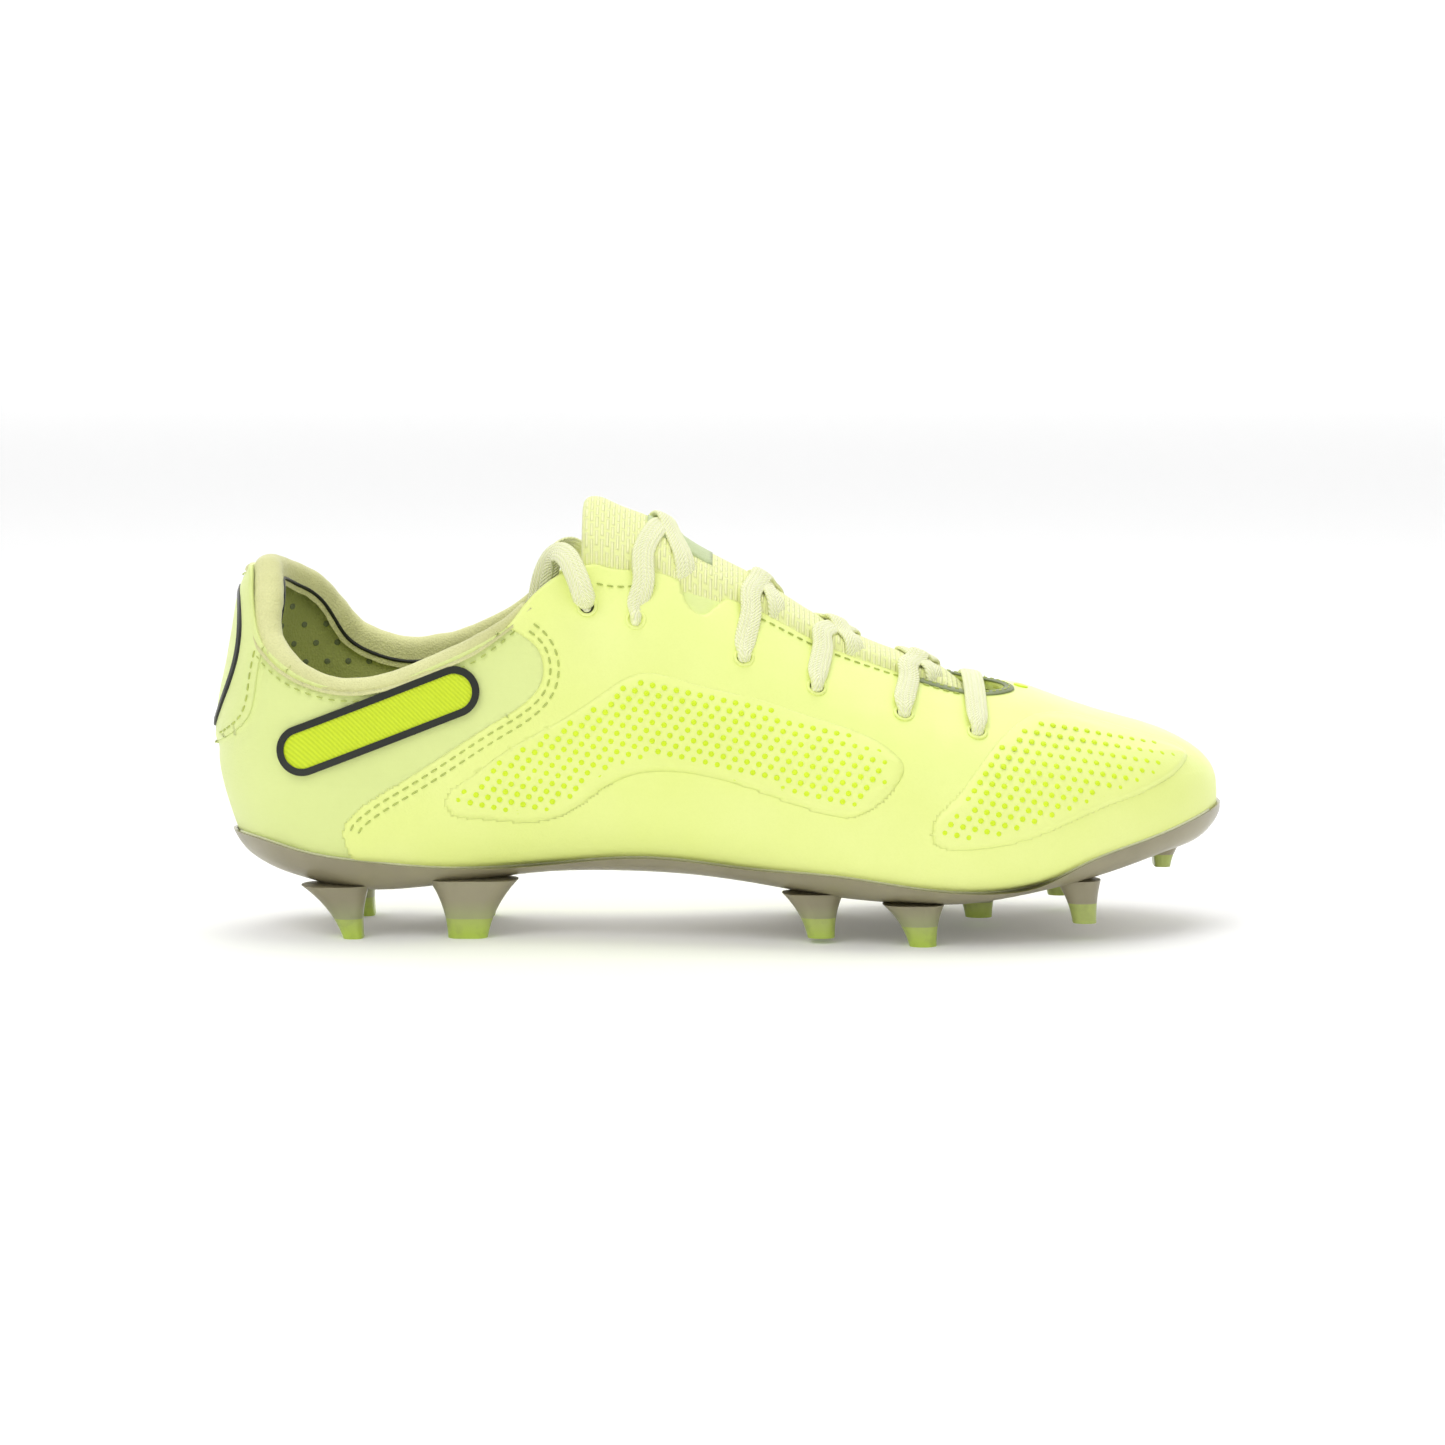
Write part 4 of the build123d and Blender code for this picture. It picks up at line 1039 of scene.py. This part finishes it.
def tongue():
    """Padded knit: a cushioned middle in the throat, thin wings under the eyestays, a rolled top."""
    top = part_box("tongue")[0].x / MM - HEEL_X + 0.8
    end, half_columns, wing = 220.0, 26, 9.0
    profile = [(top + ROLL[0] + 12, 2 * ROLL[1]), (top + ROLL[0] + 5, 2 * ROLL[1])]
    for k in range(13):
        a = math.pi * (k / 12 - 0.5)
        profile.append((top + ROLL[0] * (1 - math.cos(a)), ROLL[1] * (1 - math.sin(a))))
    profile += [(s, 0.0) for s in np.linspace(top + ROLL[0] + 1, end, 118)]
    vertices, coordinates = [], []
    run = 0.0
    before = profile[0]
    for s, drop in profile:
        run += math.dist(before, (s, drop))
        before = (s, drop)
        open_at = max(s, THROAT_START)
        low = throat_edge(-1, open_at) + TONGUE_GAP / 2
        high = throat_edge(1, open_at) - TONGUE_GAP / 2 - 2.6 * (1 - float(smooth(s, 122, 132)))
        winged = float(smooth(s, 122, 134))
        for j in range(-half_columns, half_columns + 1):
            v = j / half_columns
            y = low + (high - low) * (min(1.0, max(-1.0, v / PAD)) + 1) / 2
            t = max(0.0, (abs(v) - PAD) / (1 - PAD))
            shoulder = 1.9 * (1 - min(1.0, max(0.0, 1 - abs(v) / PAD) / 0.14)) ** 2
            y += math.copysign((wing * winged + 0.25) * t, v)
            shoulder += (4.9 * winged + 3.0) * min(1.0, t * 2.2)
            at = float(max(s, top + 0.5))
            z = tongue_layer.crown(at, min(max(y, -25.0), 25.0)) - shoulder - drop
            soft = 0.35 * noise.noise(Vector((s * 0.09, y * 0.12, 3.0)))
            vertices.append((s + HEEL_X, y, z - 0.2 + soft))
            coordinates.append((y / KNIT, run / KNIT))
    columns = 2 * half_columns + 1
    faces = quads(len(profile), columns)
    made = mesh_piece("tongue_knit_pad", vertices, faces, "tongue", "tongue", ["tongue"],
                      ("knit", coordinates))
    thicken(made, 1.8, 0.0)
    label = []
    for i in range(15):
        for j in range(13):
            s, y = 121.5 + 18 * i / 14, -9.5 + 18.5 * j / 12
            label.append((s + HEEL_X, y, tongue_layer.crown(s, y) + 1.05))
    made = mesh_piece("tongue_label", label, quads(15, 13), "label", "tongue")
    thicken(made, 0.4, 0.0)


tongue()

# ---------------------------------------------------------------- lace, pulled tight
LACE_HALF = 3.1
LACE_THICK = 0.85  # half the thickness, as LACE_HALF is half the width
END_HALF, END_THICK = 3.15, 0.9
END_TAPER = 0.03
LACE_DEPTH = 3.7  # below the skin, where it passes under the eyestays
OVER = 1.35
HUMP, HUMP_SIDE = 3.2, 1.8  # of one half of the lace over the other, where they cross
wing_layer = Layer(5.9, 8)


def lace_normal(s, y):
    return on_crown([(s, y)], 0.0, tongue_layer)[1][0]


def crossing(name, other, row, hump):
    """(point, normal) from under one side's eyelet, over the tongue, to the next eyelet of the other."""
    side, far = SIDES[name], SIDES[other]
    s, goal = EYELETS[row][0], EYELETS[row + 1][0] + 2
    rise = 0.45 * s + 0.55 * EYELETS[row + 1][0]
    near_gap = throat_edge(side, rise) - side * TONGUE_GAP / 2
    far_gap = throat_edge(far, goal) - far * TONGUE_GAP / 2
    point, normal = eyelets[name, row]
    route = [(point - normal * LACE_DEPTH, normal)]
    y = throat_edge(side, rise) + side * 4
    route.append((outer_layer.over(rise, y, -LACE_DEPTH), on_crown([(rise, y)])[1][0]))
    route.append((wing_layer.over(rise, near_gap + side * 0.5, 1.9), lace_normal(rise, near_gap)))
    route.append((tongue_layer.over(rise, near_gap - side * 1.2, OVER), lace_normal(rise, near_gap)))
    for part, lift in ((0.3, HUMP_SIDE), (0.5, HUMP), (0.7, HUMP_SIDE)):
        y = near_gap + part * (far_gap - near_gap)
        s_here = rise + part * (goal - rise)
        route.append((tongue_layer.over(s_here, y, lift if hump else OVER), lace_normal(s_here, y)))
    route.append((tongue_layer.over(goal, far_gap, OVER), lace_normal(goal, far_gap)))
    y = throat_edge(far, goal) + far * 4
    route.append((outer_layer.over(goal, y, OVER), on_crown([(goal, y)])[1][0]))
    point, normal = eyelets[other, row + 1]
    inward = Vector((point.x, point.y - far * 3.2, point.z + 2.6))
    route.append((inward + normal * OVER, normal))
    route.append((point + normal * 1.0, normal))
    return route


def lace_route():
    route = []
    for names in (("lateral", "medial"), ("medial", "lateral")):
        first = names[0]
        point, normal = eyelets[first, 0]
        half_route = [(point + normal * 1.0, normal)]
        for row in range(4):
            half_route += crossing(names[row % 2], names[(row + 1) % 2], row, first == "medial")
        for row in (4, 5):
            point, normal = eyelets[first, row]
            half_route.append((point - normal * LACE_DEPTH, normal))
        end = Vector(LACE_ENDS[first][0])
        half_route.append((end, normal))
        if first == "lateral":
            route = half_route[::-1]
            for y in (-21.0, -13.0, -5.0, 3.0, 12.0, 20.0):
                p, n = on_crown([(212.5, y)], OVER)
                route.append((p[0], n[0]))
        else:
            route += half_route
    return route


LACE_ENDS = {
    "lateral": (
        (-37.0, -25.6, 92.8), (-37.6, -29.0, 95.0), (-39.5, -28.2, 101.0), (-43.0, -22.0, 107.5),
        (-47.5, -13.5, 107.0), (-50.5, -10.5, 97.5), (-52.0, -12.0, 82.0), (-54.0, -14.5, 62.0),
        (-55.0, -15.5, 44.0), (-53.0, -15.0, 32.5), (-44.0, -13.0, 28.6), (-30.0, -10.5, 28.5),
        (-14.0, -12.0, 28.3), (2.0, -9.0, 27.3), (17.0, -12.5, 25.3), (32.0, -10.0, 23.0),
    ),
    "medial": (
        (-36.9, 20.1, 93.2), (-37.2, 23.5, 95.5), (-39.0, 23.5, 101.5), (-42.5, 18.0, 107.3),
        (-47.0, 10.0, 106.0), (-50.0, 8.5, 96.0), (-52.5, 10.5, 80.0), (-56.0, 11.5, 61.0),
        (-58.5, 12.5, 43.0), (-57.0, 12.0, 32.0), (-48.0, 10.0, 28.4), (-34.0, 12.0, 28.5),
        (-19.5, 8.5, 28.5), (-4.0, 9.5, 27.9), (11.5, 5.5, 26.3), (27.0, 7.0, 23.9),
    ),
}


def mixed(t, start, end, a, b):
    """a at start going over evenly to b at end."""
    return (end - t) / (end - start) * a + (t - start) / (end - start) * b


def curved(points, step=0.9):
    """Centripetal spline samples through 3-D points, with the segment share of each sample."""
    p = np.array(points, float)
    p = np.concatenate([[2 * p[0] - p[1]], p, [2 * p[-1] - p[-2]]])
    samples, shares = [], []
    for i in range(1, len(p) - 2):
        corners = p[i - 1 : i + 3]
        gaps = np.maximum(np.linalg.norm(np.diff(corners, axis=0), axis=1), 1e-6)
        knots = np.concatenate([[0], np.cumsum(gaps**0.5)])
        count = max(2, int(gaps[1] / step))
        for k in range(count):
            t = knots[1] + (knots[2] - knots[1]) * k / count
            single = [mixed(t, *knots[n : n + 2], *corners[n : n + 2]) for n in range(3)]
            double = [mixed(t, knots[n], knots[n + 2], *single[n : n + 2]) for n in range(2)]
            samples.append(mixed(t, *knots[1:3], *double))
            shares.append(i - 1 + k / count)
    samples.append(p[-2])
    shares.append(len(p) - 3.0)
    return np.array(samples), np.array(shares)


def steady(points, wanted, pull=0.3):
    """Band normals that follow the wanted ones, up to sign, without a sudden turn."""
    tangent = unit(np.gradient(points, axis=0))
    now = unit(wanted[0] - tangent[0] * (wanted[0] @ tangent[0]))
    out = []
    for t, w in zip(tangent, wanted):
        now = unit(now - t * (now @ t))
        aim = w - t * (w @ t)
        weight = np.linalg.norm(aim)
        aim = aim / max(weight, 1e-6)
        if aim @ now < 0:
            aim = -aim
        now = unit(now + aim * pull * weight)
        out.append(now)
    return np.array(out)


def tied_lace():
    route = lace_route()
    points, share = curved([p for p, _ in route])
    controls = np.array([n for _, n in route], float)
    wanted = unit(between(share, np.arange(len(controls)), controls))
    normals = steady(points, wanted)
    holes = np.array([p for p, _ in eyelets.values()], float)
    near = np.min(np.linalg.norm(points[:, None] - holes[None], axis=2), axis=1)
    pinch = np.exp(-((near / 3.2) ** 2))
    wide = LACE_HALF - 1.35 * pinch
    thick = LACE_THICK + 0.45 * pinch
    strip_tube("lace_band", points, wide, "lace", thick, normals, replaces=["lace"], sides=12,
               uv="weave")


def free_end(name):
    """A loose end: out of the last eyelet, over the collar and down into the boot."""
    controls = LACE_ENDS[name]
    curve = bpy.data.curves.new("lace_end_line_" + name, "CURVE")
    curve.dimensions = "3D"
    spline = curve.splines.new("NURBS")
    spline.points.add(len(controls) - 1)
    for point, place in zip(spline.points, controls):
        point.co = [c * MM for c in place] + [1.0]
    spline.order_u = 3
    spline.use_endpoint_u = True
    spline.resolution_u = 12
    holder = bpy.data.objects.new("lace_end_line_" + name, curve)
    bpy.context.collection.objects.link(holder)
    line = bpy.data.meshes.new_from_object(holder)
    followed = np.array([v.co for v in line.vertices], float) / MM
    bpy.data.objects.remove(holder)
    lying = smooth(followed[:, 2], 50, 30)[:, None]
    wanted = np.array((0.0, SIDES[name], 0.0)) * (1 - lying) + np.array((0.0, 0.0, 1.0)) * lying
    normals = steady(followed, wanted, 0.15)
    share = np.linspace(0, 1, len(followed))
    wide = END_HALF - 1.2 * np.clip(1 - share / END_TAPER, 0, 1)
    wide -= 1.5 * np.clip((share - 1 + END_TAPER) / END_TAPER, 0, 1)
    made = strip_tube("lace_free_end_" + name, followed, wide, "lace", END_THICK, normals,
                      replaces=["lace_end_" + name], sides=12, uv="weave")


tied_lace()
free_end("lateral")
free_end("medial")

# ---------------------------------------------------------------- nodes that keep their own shape
KEPT = {
    "insole_board": "board", "vamp_backing": "board", "toe_puff": "stiff", "heel_counter": "stiff",
    "collar_foam": "foam", "eyestay": "quarter", "sockliner": "sockliner", "badge_fill": "badge",
    "badge_border": "black", "heel_piping": "black", "outsole_plate": "plate", "aglet": "aglet",
    "stud_tip": "stud",
}
for name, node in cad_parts.items():
    for start, wanted in KEPT.items():
        if name.startswith(start):
            node.data.materials.clear()
            node.data.materials.append(MATERIALS[wanted])

# ---------------------------------------------------------------- studio


def floor_and_lights():
    white = (1, 1, 1, 1)
    for name, look, size, place, tilt, settings in (
        ("floor", "floor_paper", 14, (0, 0, 0), 0,
         {"Base_Color": (0.93, 0.93, 0.93, 1), "Emission_Color": white, "Emission_Strength": 0.08}),
        ("backdrop", "backdrop_light", 16, (0, 6.5, 0), math.pi / 2,
         {"Emission_Color": white, "Emission_Strength": 1.2}),
    ):
        bpy.ops.mesh.primitive_plane_add(size=size, location=place, rotation=(tilt, 0, 0))
        sheet = bpy.context.object
        sheet.name = name
        sheet.data.materials.append(Shading(look, 0.9, **settings).material)
    world = bpy.data.worlds.new("studio")
    world.use_nodes = True
    background = world.node_tree.nodes["Background"]
    background.inputs["Color"].default_value = white
    background.inputs["Strength"].default_value = 0.54
    bpy.context.scene.world = world
    for name, place, size, power in (
        ("key", (-0.75, -1.0, 1.5), 1.0, 9.0),
        ("fill", (0.9, -1.2, 0.7), 1.0, 2.0),
        ("top", (0.1, 0.35, 1.7), 1.2, 11.0),
    ):
        lamp = bpy.data.lights.new(name, "AREA")
        lamp.energy = power
        lamp.size = size
        holder = bpy.data.objects.new(name, lamp)
        holder.location = place
        holder.rotation_euler = (Vector((0, 0, 0.05)) - Vector(place)).to_track_quat("-Z", "Y").to_euler()
        bpy.context.collection.objects.link(holder)


def camera():
    lens = bpy.data.cameras.new("camera")
    lens.sensor_width = 36.0
    lens.lens = 114.8
    holder = bpy.data.objects.new("camera", lens)
    target = Vector((0.0004, 0.0, 0.0578))
    elevation = math.radians(6.0)
    distance = 1.3
    holder.location = target + Vector((0, -math.cos(elevation), math.sin(elevation))) * distance
    holder.rotation_euler = (target - holder.location).to_track_quat("-Z", "Y").to_euler()
    bpy.context.collection.objects.link(holder)
    bpy.context.scene.camera = holder
    bpy.context.scene.view_settings.view_transform = "Standard"


floor_and_lights()
camera()
